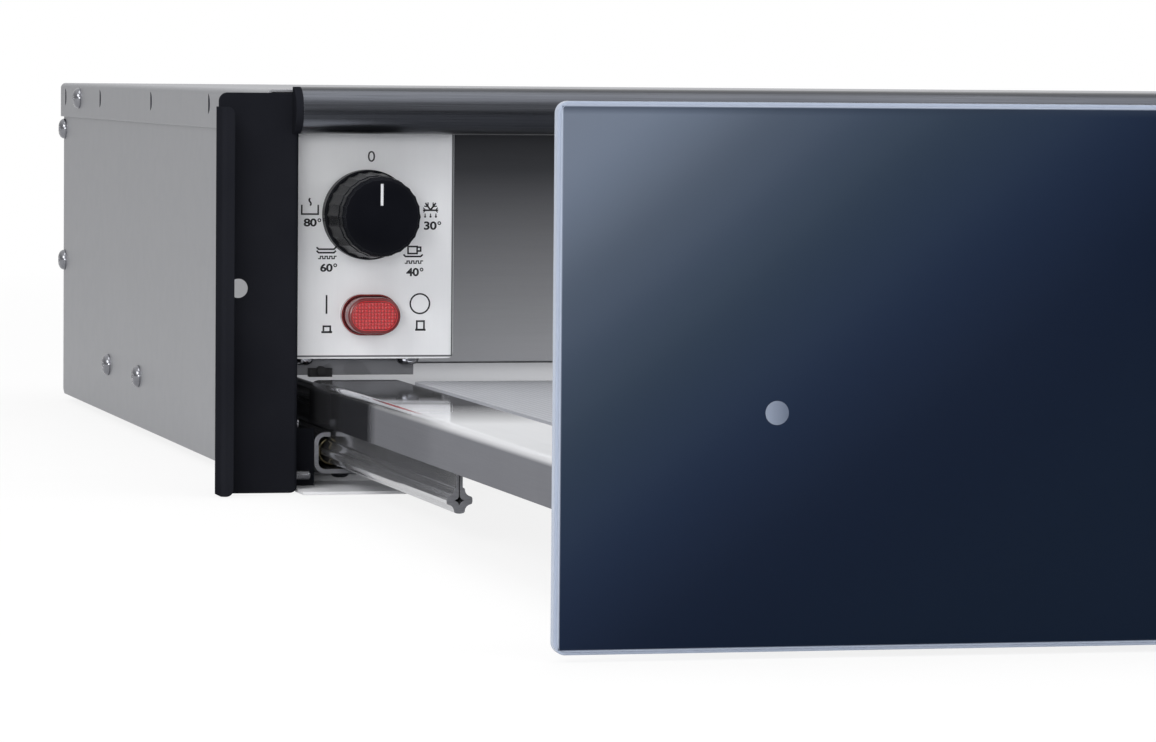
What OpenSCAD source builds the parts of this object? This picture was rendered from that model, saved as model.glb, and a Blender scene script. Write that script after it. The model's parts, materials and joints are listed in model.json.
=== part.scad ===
// Built-in warming drawer, drawn out on ball-bearing runners.
// X to the right, Y into the cabinet, Z up. The origin is in the middle of the front flanges' face,
// at the level of the niche floor.

/* [Casing] */
// Width over the side panels
casing_w = 554; // [540:1:558]
// Depth from the front flanges to the back
casing_d = 520; // [500:1:540]
// Level of the casing's underside
casing_z0 = 2.7; // [2:0.1:4]
// Level of the top cover
casing_z1 = 137.8; // [136:0.1:138.2]
// Sheet thickness of casing and cavity
sheet = 1; // [0.8:0.1:1.2]
// Height of the cover's side flanges
cover_flange = 14.5; // [12:0.5:16]
// Diameter of the four pressed feet
foot_d = 26; // [20:1:34]

/* [Front frame] */
// Width over the black flanges
frame_w = 592; // [590:1:594]
// Height of the flange plates
frame_h = 136.6; // [134:0.1:137]
// Distance of the flange plates' inner edges from the middle
frame_in = 267.3; // [266:0.1:268]
// Depth of the forward lips
lip_d = 14; // [10:0.5:14]
// Width of the lips' returns
lip_w = 4.2; // [3:0.1:6]
// Height of the lips
lip_h = 131.8; // [120:0.1:132]
// Distance between the two cabinet screws
mount_w = 576; // [572:1:578]
// Level of the cabinet screws
mount_z = 70; // [50:1:90]
// Diameter of the cabinet screw holes
mount_d = 6.6; // [5:0.1:7]
// Height of the rounded top bar
bar_h = 16; // [14:0.5:16]

/* [Controls] */
// Face of the control panel behind the flanges
panel_y = 16; // [14:0.5:18]
// Underside of the control panel
panel_z0 = 45; // [44:0.5:46]
// Inner edge of the panel, which is the cavity's half width
cavity_x = 209.4; // [205:0.1:212]
// Distance of the knob from the middle
knob_x = 241; // [238:1:244]
// Level of the knob
knob_z = 94.8; // [92:0.1:98]
// Diameter of the knob at its base
knob_d = 31; // [29:0.5:32]
// Diameter of the knob at its face
knob_face_d = 27.6; // [26:0.1:28]
// Length of the knob
knob_len = 29; // [24:0.5:29]
// Distance of the push button from the middle
button_x = 239.7; // [238:0.1:242]
// Level of the push button
button_z = 60.2; // [58:0.1:62]
// Width of the push button
button_w = 18.3; // [16:0.1:20]
// Height of the push button
button_h = 12.4; // [10:0.1:13]
// How far the button stands out
button_out = 11; // [8:0.5:12]

/* [Drawer] */
// Travel of the drawer from open to shut
travel = 495; // [480:1:495]
// Width of the glass front
glass_w = 595; // [594:1:597]
// Underside of the glass front
glass_z0 = 1.4; // [1:0.1:3]
// Height of the glass front
glass_h = 136.1; // [134:0.1:138]
// Thickness of the glass
glass_t = 4; // [3:0.5:4]
// Corner radius of the glass
glass_r = 3; // [2:0.5:6]
// Face of the glass in front of the flanges with the drawer out
glass_y = -517; // [-517:1:-510]
// Half width of the tray over its skirts
tray_x = 260; // [259:0.5:261]
// Level of the tray's rims
rim_z = 37.5; // [36:0.5:38]
// Width of the rims
rim_w = 31; // [28:1:34]
// Depth of the tray's recess
recess = 2; // [1:0.5:3]
// Height of the skirts
skirt_h = 14; // [12:0.5:16]
// Rear edge of the tray with the drawer out
tray_y1 = 18; // [10:1:20]
// Thickness of the mat
mat_t = 1.7; // [1:0.1:2]

/* [Runners] */
// Distance of the runners from the middle
runner_x = 250.5; // [249:0.5:251]
// Level of the lower bead
bead_z = 12.3; // [12:0.1:13]
// Distance between the two beads
bead_gap = 17.5; // [17:0.1:17.5]
// Radius of the beads over their lobes
bead_r = 4.1; // [4:0.1:4.3]
// Radius of the balls
ball_r = 2; // [1.8:0.1:2]
// Wall of the fixed channel
wall_fixed = 1.6; // [1.2:0.1:1.7]
// Wall of the drawer's channel
wall_drawer = 1.1; // [1:0.1:1.2]
// Length of the fixed channel
fixed_len = 472; // [460:1:474]
// Length of the middle member
middle_len = 480; // [460:1:490]
// Length of the drawer's channel
drawer_len = 490; // [470:1:490]
// Front end of the middle member with the drawer out
middle_y = -186; // [-190:1:-180]
// Balls in each row of a cage
balls = 6; // [4:1:8]

/* [Hidden] */
$fn = 48;

// Casing
bend_r = 1.6;
side_x = casing_w / 2;
cover_x = side_x + sheet;
side_z1 = casing_z1 - sheet - bend_r;
fold = 8;
rear_fold = 13;
corner_r = 7;
foot_x = 230;
foot_y = [80, 480];
base_y0 = 45;
lance_y = [126, 264, 402, 506];
lance_z = casing_z1 - 6;
lance_half = 3.8;
lance_in = 0.75;
vent_w = 4;
vent_h = 36;
vent_pitch = 11;
vent_count = 13;
vent_x = 120;
vent_z = 84;
gland_x = -240;
gland_z = 100;
gland_r = 8;
gland_bore = 4;
hole_gap = 0.1;
rear_y = casing_d - sheet;

// Screws
head_r = 4.4;
head_h = 2.8;
shank_r = 1.75;
hole_r = 2.2;
side_screw_y = [298, 380];
side_screw_z = 22.7;
rear_screw_y = 513;
rear_screw_z = [61, 118];
cover_screw_y = [60, 462];
cover_screw_z = 131.5;
flange_screw_y = 9;
flange_screws_at = [[5.5, 7], [23.2, 3]];
panel_screw_x = [224.5, 261.8];
panel_screw_y = 23.5;
rail_screw = [247.5, 27];
front_screw_x = [-200, 0, 200];
front_screw_z = 20;

// Front frame
frame_x = frame_w / 2;
leg_d = 18;
plate_r = 3;
lip_r = 2.5;
bar_z = frame_h + 2.1 - bar_h / 2;
bar_cap = 2.4;
tab_z = [1.2, 21];
bracket_y0 = -9;
bracket_y1 = 64;
bracket_x = [212, 267];

// Cavity and side boxes
floor_z = 15;
floor_x = 240;
back_y = casing_d - 5;
roof_z = 134;
base_lip_y = 30;
base_lip_z = rim_z + 1.1;
base_lip_x = 221;
liner_z0 = panel_z0 - sheet;
panel_z1 = 128;
shaft_r = 3;
shaft_gap = 0.05;
bezel_t = 2.5;
bezel_w = 0.6;
button_gap = 0.3;

// Drawer
carrier_t = 1.5;
carrier_y = glass_y + glass_t;
tray_y0 = carrier_y + carrier_t;
tray_flange_z = 12;
rim_r = 2.8;
recess_x = tray_x - rim_w;
lens_r = 3;
lens_x = 241.3;
lens_z = 60.8;

// Runners
ball_x = 3.9;
ball_z = 3.4;
groove_r = ball_r + 0.2;
bead_hollow = 1.5;
web_t = 2;
web_gap = 0.3;
slot_half = 1.9;
cage_t = 0.4;
cage_r = bead_r + 0.2;
support_x = runner_x + ball_x + groove_r + wall_fixed;
fixed_y = 18;
drawer_rail_y = tray_y0 + 5;
cage_len = 150;
cage_lower_y = 26;
cage_upper_y = -181;
plunger_r = 4;
latch_y = 455;
latch_z = 23;
plunger_out = 12;

// Unit vector of v
function unit(v) = v / norm(v);

// Arc that rounds the corner at b between a and c
function round_corner(a, b, c, r, steps = 6) =
    let (u = unit(a - b), v = unit(c - b))
    let (half = acos(max(-1, min(1, u * v))) / 2)
    let (middle = b + unit(u + v) * r / sin(half))
    let (from = b + u * r / tan(half) - middle, to = b + v * r / tan(half) - middle)
    let (start = atan2(from.y, from.x), turn = atan2(to.y, to.x) - start)
    let (sweep = turn > 180 ? turn - 360 : turn < -180 ? turn + 360 : turn)
    [for (i = [0:steps]) let (w = start + sweep * i / steps) middle + r * [cos(w), sin(w)]];

// Path with every inner corner rounded, by one radius or by a list of them
function bent(path, r) = [
    path[0],
    for (i = [1:len(path) - 2])
        each round_corner(path[i - 1], path[i], path[i + 1], is_list(r) ? r[i - 1] : r),
    path[len(path) - 1]
];

// Normal of the stretch from a to b
function normal(a, b) = let (u = unit(b - a)) [-u.y, u.x];

// Mitred offset direction at point i of a path
function miter(p, i) =
    let (n0 = normal(p[max(i - 1, 0)], p[max(i, 1)]))
    let (n1 = normal(p[min(i, len(p) - 2)], p[min(i + 1, len(p) - 1)]))
    (n0 + n1) / (1 + n0 * n1);

// Section of a folded sheet along its middle line
module folded(path, r = bend_r, t = sheet) {
    p = bent(path, r);
    last = len(p) - 1;
    polygon(concat([for (i = [0:last]) p[i] + miter(p, i) * t / 2],
        [for (i = [0:last]) p[last - i] - miter(p, last - i) * t / 2]));
}

// Section in X and Z drawn out along Y
module along_y(y0, y1) {
    translate([0, y1, 0]) rotate([90, 0, 0]) linear_extrude(y1 - y0) children();
}

// Section in Y and Z drawn out along X
module along_x(x0, x1) {
    translate([x0, 0, 0]) rotate([90, 0, 90]) linear_extrude(x1 - x0) children();
}

// Section in X and Y drawn out along Z
module along_z(z0, z1) {
    translate([0, 0, z0]) linear_extrude(z1 - z0) children();
}

// Box between two corners
module block(low, high) {
    translate(low) cube(high - low);
}

// Round bar along Y
module rod_y(x, z, r, y0, y1) {
    translate([x, y1, z]) rotate([90, 0, 0]) cylinder(r = r, h = y1 - y0);
}

// Round bar along X
module rod_x(y, z, r, x0, x1) {
    translate([x0, y, z]) rotate([0, 90, 0]) cylinder(r = r, h = x1 - x0);
}

// The piece as drawn for the left, or its mirror image for the right
module on_side(right) {
    if (right) mirror([1, 0, 0]) children();
    else children();
}

// Rectangle with round corners
module round_rect(w, h, r) {
    square([w - 2 * r, h], center = true);
    square([w, h - 2 * r], center = true);
    for (x = [-1, 1], y = [-1, 1]) translate([x * (w / 2 - r), y * (h / 2 - r)]) circle(r = r);
}

// Outline with two half-round ends
module stadium(w, h) {
    square([w - h, h], center = true);
    for (x = [-1, 1]) translate([x * (w - h) / 2, 0]) circle(r = h / 2);
}

// Domed screw with its head towards +Z and its shank down to -len
module dome_screw(len) {
    dome_r = (head_r * head_r + head_h * head_h) / (2 * head_h);
    intersection() {
        translate([0, 0, head_h - dome_r]) sphere(r = dome_r);
        cylinder(r = head_r, h = head_h + 1);
    }
    translate([0, 0, -len]) cylinder(r = shank_r, h = len + 0.2);
}

// Places on the left side where a screw goes through the casing's side, as [y, z]
side_holes = concat([for (y = side_screw_y) [y, side_screw_z]],
    [for (z = rear_screw_z) [rear_screw_y, z]]);

module side_panel(right) {
    color("#9b9ca0") on_side(right) difference() {
        along_z(casing_z0, side_z1) folded([
            [-side_x + fold, 1.5 * sheet],
            [-side_x + sheet / 2, 1.5 * sheet],
            [-side_x + sheet / 2, rear_y - sheet / 2],
            [-side_x + rear_fold, rear_y - sheet / 2]
        ]);
        for (h = side_holes) rod_x(h[0], h[1], hole_r, -side_x - 1, -side_x + 2);
        for (y = cover_screw_y) rod_x(y, cover_screw_z, hole_r, -side_x - 1, -side_x + 2);
        difference() {
            block([-side_x - 1, rear_y - corner_r, casing_z0 - 1],
                [-side_x + 3, rear_y + 1, casing_z0 + corner_r]);
            rod_x(rear_y - corner_r, casing_z0 + corner_r, corner_r, -side_x - 2, -side_x + 4);
        }
    }
}

// Half-round recess of a lance that is pressed into the cover's flange
module lance(y) {
    r = (lance_half * lance_half + lance_in * lance_in) / (2 * lance_in);
    intersection() {
        translate([lance_in - cover_x - r, y, lance_z]) sphere(r = r, $fn = 96);
        block([-cover_x - 1, y - 2 * lance_half, lance_z - 2 * lance_half],
            [-cover_x + sheet, y, lance_z + 2 * lance_half]);
    }
}

module top_cover() {
    color("#a1a2a6") difference() {
        along_y(3, casing_d) folded([
            [-cover_x + sheet / 2, casing_z1 - cover_flange],
            [-cover_x + sheet / 2, casing_z1 - sheet / 2],
            [cover_x - sheet / 2, casing_z1 - sheet / 2],
            [cover_x - sheet / 2, casing_z1 - cover_flange]
        ]);
        block([-frame_in, 2, casing_z1 - 4], [frame_in, bar_h / 2 + 0.2, casing_z1 + 1]);
        for (right = [false, true], y = lance_y) on_side(right) lance(y);
        for (right = [false, true], y = cover_screw_y) on_side(right)
            rod_x(y, cover_screw_z, hole_r, -cover_x - 1, -cover_x + 2);
    }
}

module bottom_panel() {
    color("#9b9ca0") difference() {
        union() {
            block([-side_x + sheet, base_y0, casing_z0],
                [side_x - sheet, rear_y - sheet, casing_z0 + sheet]);
            for (s = [-1, 1]) block([s > 0 ? side_x - 2 * sheet : -side_x + sheet, base_y0, casing_z0],
                [s > 0 ? side_x - sheet : -side_x + 2 * sheet, rear_y - rear_fold, 14]);
            for (s = [-1, 1], y = foot_y) translate([s * foot_x, y, 0])
                cylinder(d = foot_d, h = casing_z0 + sheet / 2);
        }
        for (s = [-1, 1], y = foot_y) translate([s * foot_x, y, sheet])
            cylinder(d = foot_d - 2 * sheet, h = casing_z0 + sheet);
    }
}

module vents() {
    for (s = [-1, 1], i = [0:vent_count - 1])
        translate([s * vent_x + (i - (vent_count - 1) / 2) * vent_pitch, 0, vent_z])
            rotate([90, 90, 0]) translate([0, 0, -casing_d - 1]) linear_extrude(4)
                stadium(vent_h, vent_w);
}

module rear_panel() {
    color("#9b9ca0") difference() {
        block([-side_x + sheet, rear_y, casing_z0 + sheet], [side_x - sheet, casing_d, side_z1]);
        vents();
        rod_y(gland_x, gland_z, gland_r + hole_gap, rear_y - 1, casing_d + 1);
    }
}

// Folded black flange: plate across the cabinet's edge, lip to the front, and a leg to the rear
// that ends in a tab beside the runner
module front_flange(right) {
    color("#15161a") on_side(right) difference() {
        union() {
            intersection() {
                along_z(0, frame_h) folded([
                    [-frame_x + lip_w, -lip_d + sheet / 2],
                    [-frame_x + sheet / 2, -lip_d + sheet / 2],
                    [-frame_x + sheet / 2, sheet / 2],
                    [-frame_in - sheet / 2, sheet / 2],
                    [-frame_in - sheet / 2, leg_d]
                ], r = 1.2);
                union() {
                    along_y(-lip_d - 1, 0) translate([-frame_x + lip_w - 10, lip_h / 2])
                        round_rect(20, lip_h, lip_r);
                    along_y(-0.01, leg_d + 1) translate([-(frame_x + frame_in) / 2 + 0.6, frame_h / 2])
                        round_rect(frame_x - frame_in - 0.8, frame_h, plate_r);
                }
            }
            block([-frame_in - sheet / 2, leg_d - sheet, tab_z[0]], [-support_x - 0.2, leg_d, tab_z[1]]);
        }
        rod_y(-mount_w / 2, mount_z, mount_d / 2, -1, 2);
        for (h = flange_screws_at)
            rod_x(flange_screw_y, h[0], hole_r, -frame_in - 2, -frame_in + 1);
    }
}

// Rounded bar across the opening
module top_bar() {
    color("#2a2c31") along_x(-frame_in + 0.1, frame_in - 0.1) bar_section();
}

// Closed end of the bar in front of the flange
module bar_cap(right) {
    color("#121316") on_side(right) intersection() {
        along_x(-frame_in - bar_cap, -frame_in + 0.1) translate([0, bar_z]) circle(r = bar_h / 2);
        block([-frame_x, -bar_h, 0], [0, 0, casing_z1 + 2]);
    }
}

module bar_section() {
    translate([0, bar_z]) difference() {
        union() {
            circle(r = bar_h / 2);
            translate([0, -bar_h / 2]) square([bar_h / 2, bar_h]);
        }
        translate([1, 0]) circle(r = bar_h / 2 - 2);
        translate([1, 2 - bar_h / 2]) square([bar_h / 2, bar_h - 4]);
    }
}

// Light plate under the runner's front end, with a raised tail below the base
module corner_bracket(right) {
    color("#c4c5c9") on_side(right) difference() {
        along_x(-bracket_x[1], -bracket_x[0]) folded([
            [bracket_y0, sheet / 2],
            [38, sheet / 2],
            [42, casing_z0 - sheet / 2],
            [bracket_y1, casing_z0 - sheet / 2]
        ], r = 1);
        difference() {
            block([-bracket_x[1] - 1, bracket_y1 - 30, -1], [-bracket_x[1] + 30, bracket_y1 + 1, 4]);
            translate([-bracket_x[1] + 30, bracket_y1 - 30, -2]) cylinder(r = 30, h = 8);
        }
    }
}

module liner_floor() {
    color("#b9babd") difference() {
        union() {
            along_y(base_y0 + 1, back_y) folded([
                [-floor_x + sheet / 2, casing_z0 + sheet],
                [-floor_x + sheet / 2, floor_z - sheet / 2],
                [floor_x - sheet / 2, floor_z - sheet / 2],
                [floor_x - sheet / 2, casing_z0 + sheet]
            ]);
            block([-floor_x + 3, base_y0 + 1, casing_z0 + sheet],
                [floor_x - 3, base_y0 + 1 + sheet, floor_z - sheet / 2]);
        }
        for (s = [-1, 1], y = foot_y) translate([s * foot_x, y, 0])
            cylinder(d = foot_d + 1, h = casing_z0 + sheet + 0.5);
    }
}

module liner_back() {
    color("#a9aaae") difference() {
        block([-side_x + 3, back_y, floor_z + 0.6], [side_x - 3, back_y + sheet, roof_z]);
        rod_y(gland_x, gland_z, gland_r + hole_gap, back_y - 1, back_y + 2);
    }
}

module liner_side(right) {
    color("#a9aaae") on_side(right) block([-cavity_x, panel_y + 21, liner_z0],
        [-cavity_x + sheet, back_y, roof_z]);
}

module liner_roof() {
    color("#a9aaae") block([-frame_in, panel_y + 3, roof_z], [frame_in, back_y + sheet, roof_z + sheet]);
}

// Folded stainless panel with a relief notch at its lower inner corner
module panel_sheet() {
    difference() {
        union() {
            along_z(panel_z0, panel_z1) folded([
                [-frame_in, panel_y + sheet / 2],
                [-cavity_x - sheet / 2, panel_y + sheet / 2],
                [-cavity_x - sheet / 2, panel_y + 20]
            ], r = 2);
            along_x(-frame_in, -cavity_x - 2.6) folded([
                [panel_y + sheet / 2, panel_z0 + 6],
                [panel_y + sheet / 2, panel_z0 + sheet / 2],
                [panel_y + 18, panel_z0 + sheet / 2]
            ], r = 1.6);
        }
        translate([0, panel_y - 1, 0]) difference() {
            block([-cavity_x - 2.6, -1, panel_z0 - 1], [-cavity_x + 1, 30, panel_z0 + 2.6]);
            rod_y(-cavity_x - 2.6, panel_z0 + 2.6, 2.6, -2, 31);
        }
    }
}

module control_panel() {
    color("#c9cacd") difference() {
        panel_sheet();
        rod_y(-knob_x, knob_z, 5, panel_y - 1, panel_y + 2);
        translate([-button_x, 0, button_z]) along_y(panel_y - 1, panel_y + 2)
            stadium(button_w + 2 * button_gap, button_h + 2 * button_gap);
        for (x = panel_screw_x) translate([-x, panel_screw_y, panel_z0 - 1]) cylinder(r = hole_r, h = 3);
    }
}

module blank_panel() {
    color("#c9cacd") on_side(true) difference() {
        panel_sheet();
        for (x = panel_screw_x) translate([-x, panel_screw_y, panel_z0 - 1]) cylinder(r = hole_r, h = 3);
    }
}

// Underside of a side box with a lip that hangs close over the tray's rim
module box_base(right) {
    color("#8d8e92") on_side(right) {
        along_x(-frame_in, -base_lip_x) folded([
            [base_lip_y + sheet / 2, base_lip_z],
            [base_lip_y + sheet / 2, panel_z0 - sheet / 2],
            [base_lip_y + 20, panel_z0 - sheet / 2]
        ], r = 1.2);
        block([-frame_in, base_lip_y + 19, panel_z0 - sheet], [-cavity_x, back_y, panel_z0]);
    }
}

module thermostat() {
    color("#d8d4c8") difference() {
        union() {
            block([-knob_x - 15, panel_y + sheet, knob_z - 13], [-knob_x + 15, panel_y + 26, knob_z + 13]);
            rod_y(-knob_x, knob_z, 4.7, panel_y - 1.5, panel_y + 2);
        }
        rod_y(-knob_x, knob_z, shaft_r + shaft_gap, panel_y - 2, panel_y + 20);
    }
}

module switch_body() {
    color("#26272a") difference() {
        block([-button_x - 13, panel_y + sheet, button_z - 9], [-button_x + 13, panel_y + 27, button_z + 9]);
        translate([-button_x, 0, button_z]) along_y(panel_y, panel_y + 14)
            stadium(button_w + 2 * button_gap, button_h + 2 * button_gap);
    }
}

module switch_bezel() {
    color("#7c1d20") translate([-button_x, 0, button_z]) along_y(panel_y - bezel_t, panel_y) difference() {
        stadium(button_w + 2 * (button_gap + bezel_w), button_h + 2 * (button_gap + bezel_w));
        stadium(button_w + 2 * button_gap, button_h + 2 * button_gap);
    }
}

// Push button with a raised lens field on its face
module switch_button() {
    color("#c8272d") translate([-button_x, 0, button_z]) {
        along_y(panel_y - button_out + 0.6, panel_y + 9) stadium(button_w, button_h);
        along_y(panel_y - button_out, panel_y - button_out + 0.8) stadium(button_w - 2, button_h - 2);
    }
}

// Knob with a round collar and face, and a faceted grip between them
module knob() {
    facets = 24;
    grip_0 = 7;
    grip_1 = knob_len - 3;
    base_r = knob_d / 2;
    face_r = knob_face_d / 2;
    color("#141519") difference() {
        translate([-knob_x, panel_y - 0.6, knob_z]) rotate([90, 0, 0]) {
            rotate_extrude($fn = 96) polygon([
                [0, 0], [base_r, 0], [base_r, grip_0 - 1], [base_r - 0.6, grip_0], [0, grip_0]
            ]);
            rotate_extrude($fn = facets) polygon([
                [0, grip_0 - 1], [base_r - 0.5, grip_0 - 1], [face_r + 0.5, grip_1 + 0.6], [0, grip_1 + 0.6]
            ]);
            rotate_extrude($fn = 96) polygon([
                [0, grip_1], [face_r, grip_1], [face_r, knob_len - 1.4], [face_r - 0.8, knob_len - 0.6],
                [0, knob_len - 0.6]
            ]);
        }
        rod_y(-knob_x, knob_z, shaft_r + 0.02, panel_y - knob_len + 7, panel_y);
        rod_y(-knob_x, knob_z, 6, panel_y - 3, panel_y);
    }
}

module thermostat_shaft() {
    color("#b8b9bd") rod_y(-knob_x, knob_z, shaft_r, panel_y - knob_len + 7, panel_y + 18);
}

// Long bracket from the casing's side to the runner
module runner_support(right) {
    color("#8d8e92") on_side(right) difference() {
        along_y(base_y0 + 15, rear_y - rear_fold - 1) folded([
            [-side_x + 1.5 * sheet, 32],
            [-side_x + 1.5 * sheet, 19],
            [-support_x - sheet / 2, 19],
            [-support_x - sheet / 2, casing_z0 + sheet]
        ], r = 1.2);
        for (y = side_screw_y) rod_x(y, side_screw_z, hole_r, -side_x, -side_x + 3);
    }
}

// Clover-shaped bead with round lobes and four ball grooves
module bead() {
    offset(r = 0.7) offset(delta = -0.7) difference() {
        circle(r = bead_r);
        for (x = [-1, 1], z = [-1, 1]) translate([x * ball_x, z * ball_z]) circle(r = groove_r);
    }
}

// Four-pointed hollow of a bead
module bead_void() {
    polygon([for (i = [0:7]) (i % 2 == 0 ? bead_hollow : 0.75) * [cos(45 * i), sin(45 * i)]]);
}

// Channel of even wall, open to the top, whose four corners are the ball races
module channel(wall) {
    half_x = ball_x + groove_r;
    half_z = ball_z + groove_r;
    difference() {
        round_rect(2 * (half_x + wall), 2 * (half_z + wall), groove_r + wall);
        round_rect(2 * half_x, 2 * half_z, groove_r);
        translate([-slot_half, 0]) square([2 * slot_half, half_z + wall + 1]);
    }
}

module rail_fixed(right) {
    color("#aeb0b4") on_side(right) difference() {
        along_y(fixed_y, fixed_y + fixed_len) translate([-runner_x, bead_z]) channel(wall_fixed);
        translate([-rail_screw.x, rail_screw.y, 0]) cylinder(r = shank_r, h = bead_z);
    }
}

module rail_middle(right) {
    color("#c2c4c8") on_side(right) along_y(middle_y, middle_y + middle_len) translate([-runner_x, bead_z])
        difference() {
            union() {
                bead();
                translate([0, bead_gap]) bead();
                translate([-web_t / 2, bead_r - 1.6]) square([web_t, bead_gap - 2 * bead_r + 3.2]);
            }
            bead_void();
            translate([0, bead_gap]) bead_void();
            translate([-web_gap / 2, 1]) square([web_gap, bead_gap - 2]);
        }
}

module rail_drawer(right) {
    color("#aeb0b4") on_side(right) along_y(drawer_rail_y, drawer_rail_y + drawer_len)
        translate([-runner_x, bead_z + bead_gap]) mirror([0, 1]) channel(wall_drawer);
}

// Ball cage: a split sleeve round the bead with a ball in each pocket
module cage(right, upper) {
    y0 = upper ? cage_upper_y : cage_lower_y;
    pitch = cage_len / balls;
    color("#c9a95c") on_side(right) translate([-runner_x, 0, bead_z + (upper ? bead_gap : 0)])
        mirror([0, 0, upper ? 1 : 0]) {
            difference() {
                along_y(y0, y0 + cage_len) difference() {
                    circle(r = cage_r + cage_t);
                    circle(r = cage_r);
                    translate([-slot_half, 0]) square([2 * slot_half, 2 * bead_r]);
                }
                for (i = [0:balls - 1], x = [-1, 1], z = [-1, 1])
                    translate([x * ball_x, y0 + pitch * (i + 0.5), z * ball_z]) sphere(r = ball_r + 0.08, $fn = 24);
            }
            for (i = [0:balls - 1], x = [-1, 1], z = [-1, 1])
                translate([x * ball_x, y0 + pitch * (i + 0.5), z * ball_z]) sphere(r = ball_r, $fn = 24);
        }
}

// Tubular element in a serpentine under the cavity floor
module heater() {
    tube_r = 3.2;
    heater_z = casing_z0 + sheet + tube_r + 1.2;
    run = 360;
    pitch = 50;
    runs = 7;
    y0 = 110;
    color("#6f6a66") translate([0, y0, heater_z]) {
        for (i = [0:runs - 1]) rod_x(i * pitch, 0, tube_r, -run / 2, run / 2);
        for (i = [0:runs - 2]) translate([(i % 2 == 0 ? 1 : -1) * run / 2, (i + 0.5) * pitch, 0])
            rotate([0, 0, i % 2 == 0 ? -90 : 90]) rotate_extrude(angle = 180, $fn = 64)
                translate([pitch / 2, 0]) circle(r = tube_r, $fn = 24);
        for (i = [0:runs - 1], x = [-1, 1]) translate([x * 120, i * pitch, -tube_r - 1.2])
            cylinder(r = 2, h = 1.6);
    }
}

module terminal_block() {
    color("#e6e4dc") difference() {
        block([-256, 462, panel_z0], [-220, 494, panel_z0 + 22]);
        for (i = [-1, 0, 1]) rod_y(-238 + i * 10, panel_z0 + 12, 3, 461, 495);
    }
}

// Bush in the back for the supply cable
module cable_gland() {
    color("#1d1e21") difference() {
        union() {
            rod_y(gland_x, gland_z, gland_r, rear_y - 10, casing_d + 0.5);
            rod_y(gland_x, gland_z, gland_r + 3, casing_d, casing_d + 3);
            rod_y(gland_x, gland_z, gland_r + 2, rear_y - 10, back_y - 3);
        }
        rod_y(gland_x, gland_z, gland_bore, rear_y - 11, casing_d + 4);
    }
}

module latch_body() {
    color("#e3e3e0") difference() {
        block([-12, latch_y, floor_z], [12, latch_y + 55, floor_z + 16]);
        rod_y(0, latch_z, plunger_r + 0.3, latch_y - 1, latch_y + 40);
    }
}

module latch_plunger() {
    color("#e3e3e0") rod_y(0, latch_z, plunger_r, latch_y - plunger_out, latch_y + 28);
}

// Black bumper on the side box's lip that keeps the tray's rim down
module rim_glide(right) {
    color("#101114") on_side(right) {
        block([-runner_x - 8, base_lip_y - 4, rim_z + 0.6], [-runner_x, base_lip_y, rim_z + 3.6]);
        rod_y(-runner_x - 4, rim_z + 2.8, 1.6, base_lip_y - 5.6, base_lip_y - 3);
    }
}

module casing_screws() {
    color("#c6c7ca") for (right = [false, true]) on_side(right) {
        for (h = side_holes) translate([-side_x, h[0], h[1]]) rotate([0, -90, 0]) dome_screw(6);
        for (y = cover_screw_y) translate([-cover_x, y, cover_screw_z]) rotate([0, -90, 0]) dome_screw(6);
    }
}

module panel_screws() {
    color("#3a3b3f") for (right = [false, true], x = panel_screw_x) on_side(right)
        translate([-x, panel_screw_y, panel_z0]) rotate([180, 0, 0]) scale(0.93) dome_screw(5);
}

module flange_screws() {
    color("#c6c7ca") for (right = [false, true], h = flange_screws_at) on_side(right)
        translate([-frame_in - sheet, flange_screw_y, h[0]]) rotate([0, -90, 0]) dome_screw(h[1]);
}

module rail_screws() {
    color("#2b2c30") for (right = [false, true]) on_side(right)
        translate([-rail_screw.x, rail_screw.y, bead_z - ball_z - groove_r - wall_fixed])
            rotate([180, 0, 0]) scale(0.75) dome_screw(2);
}

// Stainless tray with side rims, skirts, a shallow recess and a front flange
module tray() {
    rim_mid = rim_z - sheet / 2;
    color("#b5b6ba") difference() {
        union() {
            along_y(tray_y0, tray_y1) folded([
                [-tray_x + sheet / 2, rim_z - skirt_h],
                [-tray_x + sheet / 2, rim_mid],
                [-recess_x, rim_mid],
                [-recess_x + 1.5, rim_mid - recess],
                [recess_x - 1.5, rim_mid - recess],
                [recess_x, rim_mid],
                [tray_x - sheet / 2, rim_mid],
                [tray_x - sheet / 2, rim_z - skirt_h]
            ], r = [rim_r, 0.9, 0.9, 0.9, 0.9, rim_r]);
            block([-recess_x + 4, tray_y0, tray_flange_z],
                [recess_x - 4, tray_y0 + sheet, rim_mid - recess]);
        }
        for (x = front_screw_x) rod_y(x, front_screw_z, hole_r, tray_y0 - 1, tray_y0 + 3);
    }
}

module mat() {
    color("#8e9095") translate([0, (tray_y0 + 10 + tray_y1 - 5) / 2, rim_z - recess])
        linear_extrude(mat_t) round_rect(2 * recess_x - 8, tray_y1 - tray_y0 - 15, 6);
}

module front_carrier() {
    color("#33363c") translate([0, 0, glass_z0 + glass_h / 2]) difference() {
        along_y(carrier_y, carrier_y + carrier_t) round_rect(glass_w - 8, glass_h - 8, 2);
        rod_y(-lens_x, lens_z - glass_z0 - glass_h / 2, lens_r + 1, carrier_y - 1, carrier_y + 3);
        for (x = front_screw_x)
            rod_y(x, front_screw_z - glass_z0 - glass_h / 2, hole_r, carrier_y - 1, carrier_y + 3);
    }
}

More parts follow.
